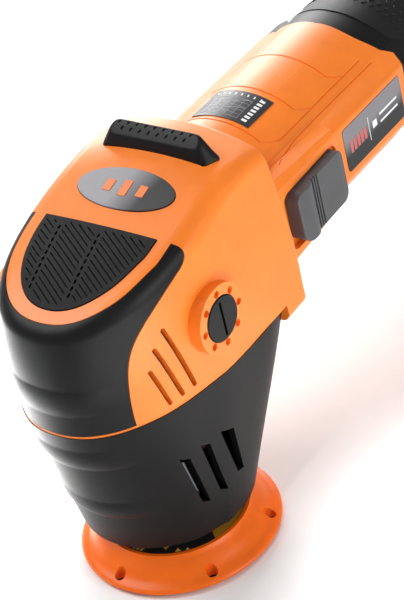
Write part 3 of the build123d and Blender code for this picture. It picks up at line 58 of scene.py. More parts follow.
# ---- materials ----
MOTTLE, METAL_MOTTLE = 55.0, 90.0            # noise scales of the slow change of colour
FILM_GRAIN = 2400.0               # noise scale of the printed films
COLOR_ENDS = (0.32, 0.68)         # noise values where a colour is full dark and full light


def new_material(name):
    """Empty node material with its shader and output in place."""
    material = bpy.data.materials.new(name)
    material.use_nodes = True
    tree = material.node_tree
    shader = tree.nodes["Principled BSDF"]
    return material, tree, shader


def noise_of(tree, scale, detail, stretch=(1, 1, 1)):
    """Noise over the object's own coordinates, in metres."""
    place = tree.nodes.new("ShaderNodeTexCoord")
    mapping = tree.nodes.new("ShaderNodeMapping")
    mapping.inputs["Scale"].default_value = stretch
    noise = tree.nodes.new("ShaderNodeTexNoise")
    noise.inputs["Scale"].default_value = scale
    noise.inputs["Detail"].default_value = detail
    noise.inputs["Roughness"].default_value = 0.55
    tree.links.new(place.outputs["Object"], mapping.inputs["Vector"])
    tree.links.new(mapping.outputs["Vector"], noise.inputs["Vector"])
    return noise.outputs["Fac"]


def spread(tree, value, low, high, source=(0.3, 0.7)):
    """Value remapped from the source range to low..high."""
    remap = tree.nodes.new("ShaderNodeMapRange")
    remap.inputs["From Min"].default_value = source[0]
    remap.inputs["From Max"].default_value = source[1]
    remap.inputs["To Min"].default_value = low
    remap.inputs["To Max"].default_value = high
    tree.links.new(value, remap.inputs["Value"])
    return remap.outputs["Result"]


def shade_of(tree, value, dark, light):
    """Colour between dark and light."""
    ramp = tree.nodes.new("ShaderNodeValToRGB")
    ramp.color_ramp.elements[0].position = COLOR_ENDS[0]
    ramp.color_ramp.elements[0].color = (*dark, 1)
    ramp.color_ramp.elements[1].position = COLOR_ENDS[1]
    ramp.color_ramp.elements[1].color = (*light, 1)
    tree.links.new(value, ramp.inputs["Fac"])
    return ramp.outputs["Color"]


def bump_of(tree, shader, value, depth):
    """Surface relief of a given depth in metres."""
    bump = tree.nodes.new("ShaderNodeBump")
    bump.inputs["Distance"].default_value = depth
    bump.inputs["Strength"].default_value = 1.0
    tree.links.new(value, bump.inputs["Height"])
    tree.links.new(bump.outputs["Normal"], shader.inputs["Normal"])


def plastic(name, color, rough, grain=2600.0, depth=0.00002, spread_by=0.05, tint=0.06, specular=0.5):
    """Moulded plastic or rubber with a fine spark-eroded grain and slight mottling."""
    material, tree, shader = new_material(name)
    broad = noise_of(tree, MOTTLE, detail=3.0)
    fine = noise_of(tree, grain, detail=2.0)
    dark = tuple(c * (1 - tint) for c in color)
    light = tuple(min(1.0, c * (1 + tint)) for c in color)
    tree.links.new(shade_of(tree, broad, dark, light), shader.inputs["Base Color"])
    tree.links.new(spread(tree, fine, rough - spread_by, rough + spread_by), shader.inputs["Roughness"])
    bump_of(tree, shader, fine, depth)
    shader.inputs["Specular IOR Level"].default_value = specular
    return material


def metal(name, color, rough, stretch=(1, 1, 14), grain=900.0, depth=0.00001, spread_by=0.08, tint=0.1):
    """Metal with fine machining marks."""
    material, tree, shader = new_material(name)
    marks = noise_of(tree, grain, detail=3.0, stretch=stretch)
    broad = noise_of(tree, METAL_MOTTLE, detail=3.0)
    dark = tuple(c * (1 - tint) for c in color)
    light = tuple(min(1.0, c * (1 + tint)) for c in color)
    tree.links.new(shade_of(tree, broad, dark, light), shader.inputs["Base Color"])
    tree.links.new(spread(tree, marks, rough - spread_by, rough + spread_by), shader.inputs["Roughness"])
    bump_of(tree, shader, marks, depth)
    shader.inputs["Metallic"].default_value = 1.0
    return material


ORANGE = (0.93, 0.215, 0.015)
BLACK = (0.0055, 0.0055, 0.0057)
LOOKS = {
    "orange_shell": plastic("orange shell", ORANGE, 0.36, specular=0.5),
    "orange_foam": plastic("orange plate", (0.94, 0.15, 0.005), 0.34, grain=1800.0, specular=0.3),
    "black_shell": plastic("black shell", BLACK, 0.42, specular=0.2),
    "black_rubber": plastic("black rubber", BLACK, 0.42, grain=2100.0, depth=0.00002, specular=0.21),
    "pad_rubber": plastic("pad rubber", BLACK, 0.55, grain=2300.0, depth=0.00003, specular=0.16),
    "grip_rubber": plastic("grip rubber", (0.009, 0.009, 0.0093), 0.5, grain=1900.0, depth=0.00003,
                           specular=0.25),
    "badge_black": plastic("badge black", (0.15, 0.14, 0.15), 0.36, specular=0.35),
    "badge_orange": plastic("badge orange", (0.86, 0.22, 0.06), 0.5),
    "label_film": plastic("label film", (0.028, 0.029, 0.031), 0.35, depth=0.000005, specular=0.3),
    "switch_grey": plastic("switch grey", (0.075, 0.074, 0.078), 0.44, specular=0.4),
    "board_glassfibre": plastic("board", (0.50, 0.23, 0.012), 0.5, grain=1400.0),
    "print_black": plastic("board print", (0.010, 0.010, 0.010), 0.5),
    "print_yellow": plastic("yellow print", (0.80, 0.45, 0.05), 0.5),
    "print_white": plastic("white print", (0.85, 0.85, 0.86), 0.5),
    "print_grey": plastic("grey print", (0.30, 0.30, 0.32), 0.5),
    "print_red": plastic("red print", (0.62, 0.12, 0.11), 0.5),
    "hook_fabric": plastic("hook fabric", (0.03, 0.03, 0.03), 0.9, grain=1500.0, depth=0.0003),
    "steel": metal("steel", (0.50, 0.50, 0.51), 0.30),
    "dark_steel": metal("dark steel", (0.16, 0.165, 0.18), 0.2, depth=0.000003),
    "zinc_steel": metal("zinc steel", (0.60, 0.60, 0.58), 0.38),
    "bearing_steel": metal("bearing steel", (0.66, 0.66, 0.67), 0.2),
    "lamination": metal("lamination", (0.30, 0.30, 0.31), 0.5, stretch=(1, 1, 60)),
    "copper": metal("copper", (0.72, 0.30, 0.12), 0.42, stretch=(1, 1, 30)),
    "aluminium": metal("aluminium", (0.62, 0.63, 0.64), 0.5, stretch=(1, 1, 1)),
    "brass": metal("brass", (0.74, 0.52, 0.2), 0.32),
    "carbon": plastic("carbon", (0.02, 0.02, 0.021), 0.6),
    "nylon": plastic("nylon", (0.035, 0.035, 0.036), 0.55),
    "circuit": plastic("circuit", (0.02, 0.12, 0.05), 0.4),
}


def graded_film(name, dark, light, way, low, high, rough):
    """Film whose colour pales evenly along a direction, between two distances in metres; on the badge the
    pale side is painted highlight and the dark side painted shade.
    """
    material, tree, shader = new_material(name)
    place = tree.nodes.new("ShaderNodeTexCoord")
    along = tree.nodes.new("ShaderNodeVectorMath")
    along.operation = "DOT_PRODUCT"
    along.inputs[1].default_value = way
    tree.links.new(place.outputs["Object"], along.inputs[0])
    height = spread(tree, along.outputs["Value"], 0.0, 1.0, source=(low, high))
    tree.links.new(shade_of(tree, height, dark, light), shader.inputs["Base Color"])
    fine = noise_of(tree, FILM_GRAIN, detail=2.0)
    tree.links.new(spread(tree, fine, rough - 0.03, rough + 0.03), shader.inputs["Roughness"])
    bump_of(tree, shader, fine, 0.000004)
    return material


def paint(piece, look):
    """Gives a piece one material."""
    piece.data.materials.clear()
    piece.data.materials.append(LOOKS[look])


for part in frame["record"]["subparts"]:
    paint(NODES[part["node"]], part["material_slot"])

label_low, label_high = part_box("side_label")
LOOKS["side_film"] = graded_film("side film", (0.010, 0.011, 0.011), (0.21, 0.205, 0.22), (0, 0, 1),
                                 label_low.z, label_high.z, 0.5)
paint(NODES["side_label"], "side_film")
badge_low, badge_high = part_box("badge_plate")
BADGE_HIGHLIGHT_WAY = (-0.25, -0.97, 0)     # direction of the badge's painted highlight; the other way it darkens as painted shade
BADGE_SHADE_ENDS = (0.75, 0.9)          # share of its sides where its painted shade is full dark and its painted highlight full pale
# the badge's film is painted highlight and shade: paler towards its -y side, darker towards +y
LOOKS["badge_painted_shading"] = graded_film("badge painted shading", (0.022, 0.021, 0.024), (0.33, 0.32, 0.34), BADGE_HIGHLIGHT_WAY,
                                  badge_low.y * BADGE_SHADE_ENDS[0], badge_high.y * BADGE_SHADE_ENDS[1], 0.36)
paint(NODES["badge_plate"], "badge_painted_shading")


# ---- surfaces and piece building ----
BEAD_END = 0.55                   # width of a bead's ends, of its full width
WELD = 0.002                      # corners closer than this are joined before a cut, mm
ON_SKIN = 0.004                   # a face this close to the uncut surface is part of it, mm
SMOOTH = 0.7                      # least cosine between a face and its shading, else the edge is sharp
SMOOTH_CUT = 0.5                  # the same for the faces of a cut


class Skin:
    """A mesh's surface, with its shading, for casting rays and looking up normals."""

    def __init__(self, mesh):
        mesh.calc_loop_triangles()
        self.points = [vertex.co.copy() for vertex in mesh.vertices]
        normals = [corner.vector.copy() for corner in mesh.corner_normals]
        self.triangles = [tuple(t.vertices) for t in mesh.loop_triangles]
        self.normals = [tuple(normals[loop] for loop in t.loops) for t in mesh.loop_triangles]
        self.tree = BVHTree.FromPolygons(self.points, self.triangles)

    def shading_at(self, place, index):
        """Interpolated shading normal on one triangle."""
        corners = [self.points[i] for i in self.triangles[index]]
        normal = barycentric_transform(place, *corners, *self.normals[index])
        return normal.normalized()

    def hit(self, start, direction):
        """(point, shading normal) where a ray meets the surface, or None."""
        place, _, index, _ = self.tree.ray_cast(Vector(start), Vector(direction))
        if place is None:
            return None
        return place, self.shading_at(place, index)

    def near(self, place):
        """(distance, shading normal) of the surface's closest point."""
        closest, _, index, distance = self.tree.find_nearest(place)
        return distance, self.shading_at(closest, index)


class Shape:
    """Vertices and faces gathered for one mesh."""

    def __init__(self):
        self.verts = []
        self.faces = []

    def add(self, verts, faces):
        """Takes in vertices and the faces between them."""
        base = len(self.verts)
        self.verts.extend(verts)
        self.faces.extend(tuple(base + i for i in face) for face in faces)

    def bead(self, spine, wide, deep, sides=8, square=1.0):
        """Closed rounded bead along (point, up) pairs: wide across, deep along up, blunt at both ends."""
        rings = []
        count = len(spine)
        for i, (place, up) in enumerate(spine):
            ahead = spine[min(i + 1, count - 1)][0] - spine[max(i - 1, 0)][0]
            across = ahead.cross(up).normalized()
            up = across.cross(ahead).normalized()
            shrink = BEAD_END if i in (0, count - 1) else 1.0
            ring = []
            for k in range(sides):
                turn = 2 * math.pi * (k + 0.5) / sides
                c, s = math.cos(turn), math.sin(turn)
                c = math.copysign(abs(c) ** square, c)
                s = math.copysign(abs(s) ** square, s)
                ring.append(place + across * (wide * shrink * c) + up * (deep * s))
            rings.append(ring)
        faces = []
        for i in range(count - 1):
            for k in range(sides):
                a, b = i * sides + k, i * sides + (k + 1) % sides
                faces.append((a, b, b + sides, a + sides))
        faces.append(tuple(reversed(range(sides))))
        faces.append(tuple(range((count - 1) * sides, count * sides)))
        self.add([p for ring in rings for p in ring], faces)

    def object(self, name, smooth=True):
        """Object holding these faces, with normals facing out."""
        mesh = bpy.data.meshes.new(name)
        mesh.from_pydata(self.verts, [], self.faces)
        work = bmesh.new()
        work.from_mesh(mesh)
        bmesh.ops.recalc_face_normals(work, faces=work.faces)
        work.to_mesh(mesh)
        work.free()
        for face in mesh.polygons:
            face.use_smooth = smooth
        piece = bpy.data.objects.new(name, mesh)
        bpy.context.scene.collection.objects.link(piece)
        return piece


def finished(piece, look, slot, body, *nodes):
    """Gives a piece its material and body, and hides the CAD nodes it stands for; the slot is not used."""
    paint(piece, look)
    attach(piece, body)
    if nodes:
        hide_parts(*nodes)


def shade_by(mesh, normals):
    """Sets a mesh's shading from one normal per corner."""
    for face in mesh.polygons:
        face.use_smooth = True
    mesh.normals_split_custom_set(normals)


def mesh_of(node):
    """Mesh of a CAD piece."""
    return NODES[node].data


def carved(name, source, cutter):
    """Copy of a mesh with a cutter's shape taken out of it and its own shading kept elsewhere."""
    skin = Skin(source)
    mesh = source.copy()
    work = bmesh.new()
    work.from_mesh(mesh)
    bmesh.ops.remove_doubles(work, verts=work.verts, dist=WELD * MM)
    work.to_mesh(mesh)
    work.free()
    blank = bpy.data.objects.new(name + "_blank", mesh)
    tool = cutter.object(name + "_tool")
    bpy.context.scene.collection.objects.link(blank)
    cut = blank.modifiers.new("cut", "BOOLEAN")
    cut.operation = "DIFFERENCE"
    cut.solver = "EXACT"
    cut.object = tool
    graph = bpy.context.evaluated_depsgraph_get()
    result = bpy.data.meshes.new_from_object(blank.evaluated_get(graph))
    bpy.data.objects.remove(blank)
    bpy.data.objects.remove(tool)
    result.name = name
    on_skin = [skin.near(face.center)[0] < ON_SKIN * MM for face in result.polygons]
    rounded = [Vector() for _ in result.vertices]
    for face, kept in zip(result.polygons, on_skin):
        if not kept:
            for vertex in face.vertices:
                rounded[vertex] += face.normal * face.area
    normals = [Vector((0, 0, 1))] * len(result.loops)
    for face, kept in zip(result.polygons, on_skin):
        for loop in face.loop_indices:
            vertex = result.loops[loop].vertex_index
            if kept:
                normals[loop] = skin_normal(skin, result.vertices[vertex].co, face.normal)
            else:
                soft = rounded[vertex].normalized()
                normals[loop] = soft if soft.dot(face.normal) > SMOOTH_CUT else face.normal.copy()
    shade_by(result, normals)
    piece = bpy.data.objects.new(name, result)
    bpy.context.scene.collection.objects.link(piece)
    return piece


def skin_normal(skin, place, facing):
    """Shading normal at a corner, or the face's own where the skin turns a sharp edge there."""
    shading = skin.near(place)[1]
    return shading if shading.dot(facing) > SMOOTH else facing.copy()


UPRIGHT = 0.5                     # largest upward part of an upright wall's normal
SIDEWAYS = 0.6                    # smallest sideways part of the normals that are evened
ALIKE = 0.9                       # cosine between normals that are averaged
FAR_SHARE = 0.05                  # weight of a normal at the end of the reach
SPLIT_ROUNDS = 5                  # times a long edge may be halved
NO_LIFT = 0.002                   # a smaller lift leaves an edge whole, mm
SLOPE_STEP = 0.05                 # distance over which the lift's slope is taken, mm


def even_shading(work, low, high, reach):
    """Spreads a quick turn of an upright wall's shading over more of it, between two x."""
    kept = work.loops.layers.float_vector["kept_normal"]
    walls = []
    for face in work.faces:
        for loop in face.loops:
            normal = loop[kept]
            place = loop.vert.co
            outwards = normal.x * place.x + normal.y * place.y > 0
            if low - reach < place.x < high + reach and abs(normal.z) < UPRIGHT and outwards:
                walls.append((loop, place.copy(), normal.copy()))
    tree = KDTree(len(walls))
    for index, (_, place, _) in enumerate(walls):
        tree.insert(place, index)
    tree.balance()
    done = {}
    for loop, place, normal in walls:
        if not low < place.x < high or normal.y * place.y < SIDEWAYS * abs(place.y):
            continue
        key = (loop.vert.index, round(normal.x, 2), round(normal.y, 2), round(normal.z, 2))
        if key not in done:
            total = Vector()
            for spot, index, distance in tree.find_range(place, reach):
                if walls[index][2].dot(normal) > ALIKE:
                    total += walls[index][2] * (1 + FAR_SHARE - distance / reach)
            done[key] = total.normalized()
        loop[kept] = done[key]


def reshaped(name, node, lift, longest, band=None):
    """Copy of a CAD piece pushed outwards from the motor axis by lift(point), shaded to match.
    Edges longer than the limit are split first where the surface moves."""
    mesh = mesh_of(node).copy()
    flat = [0.0] * (3 * len(mesh.loops))
    mesh.corner_normals.foreach_get("vector", flat)
    store = mesh.attributes.new("kept_normal", "FLOAT_VECTOR", "CORNER")
    store.data.foreach_set("vector", flat)
    work = bmesh.new()
    work.from_mesh(mesh)
    if band:
        even_shading(work, *band)
    for _ in range(SPLIT_ROUNDS):
        split = [edge for edge in work.edges
                 if edge.calc_length() > longest and any(lift(v.co) > NO_LIFT * MM for v in edge.verts)]
        if not split:
            break
        bmesh.ops.subdivide_edges(work, edges=split, cuts=1)
        bmesh.ops.triangulate(work, faces=[face for face in work.faces if len(face.verts) > 3])
    kept = work.loops.layers.float_vector["kept_normal"]
    step = SLOPE_STEP * MM
    axes = (Vector((step, 0, 0)), Vector((0, step, 0)), Vector((0, 0, step)))
    slopes = {}
    for vertex in work.verts:
        here = lift(vertex.co)
        slopes[vertex.index] = (here, Vector([(lift(vertex.co + axis) - here) / step for axis in axes]))
    normals = []
    for face in work.faces:
        for loop in face.loops:
            normal = loop[kept].normalized()
            slope = slopes[loop.vert.index][1]
            if slope.length_squared > 0:
                out = Vector((loop.vert.co.x, loop.vert.co.y, 0)).normalized()
                slope = slope - normal * slope.dot(normal)
                normal = (normal - slope * (normal.dot(out) / (1 + slope.dot(out)))).normalized()
            normals.append(normal)
    for vertex in work.verts:
        out = Vector((vertex.co.x, vertex.co.y, 0)).normalized()
        vertex.co += out * slopes[vertex.index][0]
    fresh = bpy.data.meshes.new(name)
    work.to_mesh(fresh)
    work.free()
    for attribute in ("kept_normal", "custom_normal"):
        if attribute in fresh.attributes:
            fresh.attributes.remove(fresh.attributes[attribute])
    shade_by(fresh, normals)
    piece = bpy.data.objects.new(name, fresh)
    bpy.context.scene.collection.objects.link(piece)
    return piece


# ---- ribbed thumb pad ----
PAD_GROOVE = (0.31, 0.6)         # half width, depth, mm
PAD_PITCH = 2.0                  # between grooves, mm
PAD_TURN = math.radians(31)       # groove direction off the tool's width
PAD_STEP = 0.7                    # between points of a groove, mm
PAD_RUN = 4                       # points of the shortest groove
PAD_REACH = 0.6                   # how far the grooves' lines go each way, of the pad's diagonal
PAD_BORDER = 1.7                  # plain border, mm
PAD_PROBES = 8                    # directions in which the border is looked for
PAD_FLAT = 0.3                    # least upward part of the pad's normal within its rim
PAD_ROWS = ((-16.3, 0.175), (2.0, 0.155))    # y at x = 0 in mm, drift per mm forward
PAD_ROW_GAP = 1.5                 # plain strip each side of a row of slots, mm
PAD_SLOT = (0.62, 1.9, 2.9)       # half width, length, pitch, mm
PAD_SLOT_SINK, PAD_SLOT_DEPTH = 0.1, 0.8     # below the surface, mm
PAD_SLOT_SQUARE = 0.6             # bead power, 1 round and 0 square


def row_of(place, row):
    """Sideways distance in mm from a row of slots."""
    return place.y / MM - (row[0] + row[1] * place.x / MM)


def pad_panel(place):
    """Number of the panel between the rows of slots, or None on the strip beside one."""
    offsets = [row_of(place, row) for row in PAD_ROWS]
    if any(abs(offset) < PAD_ROW_GAP for offset in offsets):
        return None
    return sum(offset > 0 for offset in offsets)


def build_thumb_pad():
    """Rubber pad with slanted grooves in three panels and rows of short slots between them."""
    skin = Skin(mesh_of("top_grip_pad"))
    low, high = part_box("top_grip_pad")
    above = high.z + 0.02

    def land(x, y):
        """Surface point and normal below (x, y), or None within the border."""
        for k in range(PAD_PROBES):
            turn = 2 * math.pi * k / PAD_PROBES
            edge_x = x + PAD_BORDER * MM * math.cos(turn)
            edge_y = y + PAD_BORDER * MM * math.sin(turn)
            rim = skin.hit((edge_x, edge_y, above), (0, 0, -1))
            if rim is None or rim[1].z < PAD_FLAT:
                return None
        return skin.hit((x, y, above), (0, 0, -1))

    cutter = Shape()
    along = Vector((math.sin(PAD_TURN), math.cos(PAD_TURN)))
    across = Vector((math.cos(PAD_TURN), -math.sin(PAD_TURN)))
    centre = Vector(((low.x + high.x) / 2, (low.y + high.y) / 2))
    reach = (high - low).length * PAD_REACH
    lines = int(reach / (PAD_PITCH * MM))
    step = PAD_STEP * MM
    for line in range(-lines, lines + 1):
        run, panel = [], None
        for i in range(int(2 * reach / step) + 1):
            spot = centre + across * (line * PAD_PITCH * MM) + along * (i * step - reach)
            found = land(spot.x, spot.y)
            here = pad_panel(found[0]) if found else None
            if run and (found is None or here != panel):
                groove(cutter, run)
                run = []
            if found and here is not None:
                panel = here
                run.append(found)
        groove(cutter, run)
    for row in PAD_ROWS:
        x = low.x + PAD_BORDER * MM
        while x < high.x:
            half = PAD_SLOT[1] / 2 * MM
            row_y = row[0] * MM + row[1] * x
            ends = [land(x + k * half, row_y + k * half * row[1]) for k in (-1, 0, 1)]
            if all(ends):
                cutter.bead([(p - n * PAD_SLOT_SINK * MM, n) for p, n in ends], PAD_SLOT[0] * MM,
                            PAD_SLOT_DEPTH * MM, square=PAD_SLOT_SQUARE)
            x += PAD_SLOT[2] * MM
    finished(carved("thumb_pad", mesh_of("top_grip_pad"), cutter), "pad_rubber", "black_rubber", "housing",
             "top_grip_pad")


def groove(cutter, run):
    """One groove along a run of surface points, if it is long enough to show."""
    if len(run) >= PAD_RUN:
        cutter.bead([(p, n) for p, n in run], PAD_GROOVE[0] * MM, PAD_GROOVE[1] * MM)


# ---- moulded waves of the front grip and shroud ----
WAVES = {                         # lower edge, upper edge, height, mm
    "front_grip": ((91.0, 102.5, 0.7),),
    "lower_shroud": ((63.5, 73.5, 0.9), (34.5, 43.8, 0.9)),
}
WAVE_SPREAD = (14.0, 46.0)        # degrees off the nose where a wave starts to fade and is gone
WAVE_EDGE = 0.05                  # softness of a wave's edges
WAVE_TAIL = 0.6                   # a wave ends where its lens is this far below zero
WAVE_EDGE_LENGTH = 1.3            # longest mesh edge on a wave, mm
SHROUD_BAND = (-14.0, 10.0, 8.0)  # x between which the shroud's shading is evened, reach, mm


def wave_lift(waves):
    """Height function of a set of waves across the nose of the tool."""
    def lift(place):
        """Height in metres at a point."""
        if place.x <= 0:
            return 0.0
        off = abs(math.degrees(math.atan2(place.y, place.x)))
        fade = 1 - (off - WAVE_SPREAD[0]) / (WAVE_SPREAD[1] - WAVE_SPREAD[0])
        if fade <= 0:
            return 0.0
        fade = min(1.0, fade)
        fade = fade * fade * (3 - 2 * fade)
        total = 0.0
        for low, high, height in waves:
            t = (2 * place.z / MM - low - high) / (high - low)
            lens = 1 - t * t
            if lens > -WAVE_TAIL:
                total += height * 0.5 * (lens + math.sqrt(lens * lens + WAVE_EDGE * WAVE_EDGE))
                total -= height * 0.5 * (math.sqrt(WAVE_TAIL * WAVE_TAIL + WAVE_EDGE * WAVE_EDGE) - WAVE_TAIL)
        return max(0.0, total) * fade * MM
    return lift


def build_waves():
    """Front grip and shroud with their moulded waves."""
    for node, name, look in (("front_grip", "nose_grip", "black_rubber"),
                             ("lower_shroud", "shroud_shell", "black_shell")):
        band = [value * MM for value in SHROUD_BAND] if node == "lower_shroud" else None
        piece = reshaped(name, node, wave_lift(WAVES[node]), WAVE_EDGE_LENGTH * MM, band)
        finished(piece, look, look, "housing", node)


# ---- bumper ----
DOT = (0.55, 0.72)                # half width, half length, mm
DOT_DEPTH = 0.6                   # mm
DOT_ROWS = ((-44.4, 0.0), (-42.5, 2.0))      # x, first offset in y, mm
DOT_PITCH = 4.1                   # mm
DOT_HALF_SPAN = 17.0              # mm
DOT_TURN = math.radians(38)
BUMPER_REAR = 1.2                 # level part of the crown, from its rear edge, mm
BUMPER_VOXEL = 0.4               # mm
BUMPER_ROUNDS = 46                # smoothing passes
BUMPER_EASE = 0.6                 # share of the way to its neighbours' middle per pass
BUMPER_FOOT = (0.3, 2.2)          # heights off the head where smoothing starts and is full, mm
FOOT_SINK = 0.35                  # depth the foot is bedded into the head, mm
BUMPER_SLOPE = 0.85               # fall of the crown towards the front


def softened(name, node, seat, voxel, rounds, foot, crown):
    """Mesh of a CAD piece with a sloping top and rounded edges, but for its foot on the seat."""
    blank = bpy.data.objects.new(name, mesh_of(node).copy())
    bpy.context.scene.collection.objects.link(blank)
    remesh = blank.modifiers.new("remesh", "REMESH")
    remesh.mode = "VOXEL"
    remesh.voxel_size = voxel * MM
    graph = bpy.context.evaluated_depsgraph_get()
    mesh = bpy.data.meshes.new_from_object(blank.evaluated_get(graph))
    bpy.data.objects.remove(blank)
    ground = Skin(mesh_of(seat))
    work = bmesh.new()
    work.from_mesh(mesh)
    weights = []
    top, rear, slope = crown
    for vertex in work.verts:
        vertex.co.z = min(vertex.co.z, top - slope * max(0.0, vertex.co.x - rear))
    for vertex in work.verts:
        off = ground.near(vertex.co)[0] / MM
        weights.append(max(0.0, min(1.0, (off - foot[0]) / (foot[1] - foot[0]))))
        if off < foot[0]:
            vertex.co.z -= FOOT_SINK * MM
    for _ in range(rounds):
        moves = []
        for vertex, weight in zip(work.verts, weights):
            around = [edge.other_vert(vertex).co for edge in vertex.link_edges]
            moves.append((sum(around, Vector()) / len(around) - vertex.co) * (BUMPER_EASE * weight))
        for vertex, move in zip(work.verts, moves):
            vertex.co += move
    for face in work.faces:
        face.smooth = True
    work.to_mesh(mesh)
    work.free()
    return mesh


def build_bumper():
    """Rubber bumper with soft corners and two staggered rows of slanted dots on its crown."""
    low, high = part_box("top_bumper")
    mesh = softened("bumper_soft", "top_bumper", "head_housing", BUMPER_VOXEL, BUMPER_ROUNDS, BUMPER_FOOT,
                    (high.z, low.x + BUMPER_REAR * MM, BUMPER_SLOPE))
    skin = Skin(mesh)
    above = high.z + 0.01
    cutter = Shape()
    reach = (DOT[1] * math.cos(DOT_TURN) * MM, DOT[1] * math.sin(DOT_TURN) * MM)
    for x, shift in DOT_ROWS:
        y = -DOT_HALF_SPAN + shift
        while y <= DOT_HALF_SPAN:
            spine = [skin.hit((x * MM + k * reach[0], y * MM - k * reach[1], above), (0, 0, -1))
                     for k in (-1, 0, 1)]
            if all(spine):
                cutter.bead(spine, DOT[0] * MM, DOT_DEPTH * MM)
            y += DOT_PITCH
    finished(carved("bumper", mesh, cutter), "black_rubber", "black_rubber", "housing", "top_bumper")


# ---- rotor shield behind the louvres, dark as painted shade ----
SHIELD = (30.8, 31.4, 19.0, 50.0)    # inner and outer radius, low and high, mm
SHIELD_LIP = 0.5                     # rolled edge at its foot, mm
SHIELD_STEPS = 128                   # facets round it
SHIELD_SHARP = math.radians(50)      # edges that turn further are sharp


def build_shield():
    """Sheet-metal cup under the bearing bracket, round the turning counterweight: dark as painted shade
    inside the louvres, glossy to take the lamps' highlights.
    """
    inner, outer, low, high = SHIELD
    # down the inner wall, round the foot and its rolled edge, and up the outer wall
    profile = [(inner, high), (inner, low + 1.2), (inner + 0.05, low + 0.3), (inner + 0.3, low),
               (outer + SHIELD_LIP, low), (outer + SHIELD_LIP, low + 0.7), (outer + 0.1, low + 1.3),
               (outer, low + 2.2), (outer, high)]
    count = len(profile)
    verts = []
    for i in range(SHIELD_STEPS):
        turn = 2 * math.pi * i / SHIELD_STEPS
        verts += [Vector((r * math.cos(turn), r * math.sin(turn), z)) * MM for r, z in profile]
    faces = []
    for i in range(SHIELD_STEPS):
        for k in range(count):
            a, b = i * count + k, i * count + (k + 1) % count
            faces.append((a, b, (b + count) % len(verts), (a + count) % len(verts)))
    shape = Shape()
    shape.add(verts, faces)
    # dark steel cup; its darkness is painted shade seen through the louvres
    piece = shape.object("rotor_shade_shield")
    piece.data.set_sharp_from_angle(angle=SHIELD_SHARP)
    finished(piece, "dark_steel", "steel", "housing")


# ---- dark screens behind the side inlets, as painted shade ----
INLETS = (                        # x, z of the left slots' ends, mm
    ((15.9, 115.4), (9.0, 84.9)),
    ((21.2, 110.0), (14.8, 84.4)),
    ((24.9, 102.4), (20.3, 83.8)),
)
SCREEN = (1.6, 0.5, 3.2)          # half width, half thickness, depth below the wall, mm
SCREEN_SQUARE = 0.5               # bead power, 1 round and 0 square
SCREEN_PARTS = 12                 # straight parts along a strip
RIM_STEP = 2.0                    # from a slot's middle to the wall beside it, mm
OUTSIDE = 80.0                    # y well outside the tool, mm


def build_screens():
    """Dark screen strips just inside the side inlets, following the wall round them: painted shade in the
    openings.
    """
    walls = [Skin(mesh_of(node)) for node in ("head_housing", "front_grip")]
    shape = Shape()
    flip = Vector((1, -1, 1))
    for (top_x, top_z), (low_x, low_z) in INLETS:
        spine = []
        for x, z in straight(top_x, top_z, low_x, low_z, SCREEN_PARTS):
            found = []
            for step in (-RIM_STEP, RIM_STEP):
                start = Vector(((x + step) * MM, OUTSIDE * MM, z * MM))
                hits = [hit for hit in (wall.hit(start, (0, -1, 0)) for wall in walls) if hit]
                if hits:
                    found.append(max(hits, key=lambda hit: hit[0].y))
            if len(found) == 2:
                place = (found[0][0] + found[1][0]) / 2
                up = (found[0][1] + found[1][1]).normalized()
                spine.append((place - up * SCREEN[2] * MM, up))
        if len(spine) > 2:
            mirrored = [(place * flip, up * flip) for place, up in spine]
            for run in (spine, mirrored):
                shape.bead(run, SCREEN[0] * MM, SCREEN[1] * MM, square=SCREEN_SQUARE)
    # black strips that are painted shade inside the inlets
    finished(shape.object("inlet_shade_screens"), "black_shell", "black_shell", "housing")


# ---- lines along the shoulders of the neck ----
NECK_LINES = (                    # x and y of the left shoulder's lines, mm
    ((-72.5, 29.8), (-79.5, 27.2), (-88.0, 25.9), (-104.0, 25.7), (-120.0, 25.7), (-147.0, 25.9)),
    ((-76.9, 19.1), (-80.0, 21.4), (-84.5, 22.9), (-115.0, 22.8), (-143.0, 22.8)),
    ((-100.4, 19.2), (-103.5, 21.4), (-107.5, 22.7)),
    ((-124.0, 19.2), (-127.0, 21.4), (-131.0, 22.7)),
)
NECK_LINE = (0.30, 0.42)          # half width, depth, mm
NECK_LINE_STEP = 1.0              # between points of a line, mm


def build_neck():
    """Neck with fine moulded lines along both shoulders, turning into the panel lines across it."""
    skin = Skin(mesh_of("neck_housing"))
    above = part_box("neck_housing")[1].z + 0.02
    cutter = Shape()
    for side in (-1, 1):
        for line in NECK_LINES:
            spine = []
            for (x0, y0), (x1, y1) in zip(line, line[1:]):
                parts = max(2, int(math.hypot(x1 - x0, y1 - y0) / NECK_LINE_STEP))
                for x, y in straight(x0, y0, x1, y1, parts)[:-1]:
                    found = skin.hit((x * MM, side * y * MM, above), (0, 0, -1))
                    if found:
                        spine.append(found)
            cutter.bead(spine, NECK_LINE[0] * MM, NECK_LINE[1] * MM)
    finished(carved("neck_shell", mesh_of("neck_housing"), cutter), "orange_shell", "orange_shell", "housing",
             "neck_housing")


# ---- printed graphics ----
PRINT_LIFT = 0.05                 # thickness of the print above its film, mm


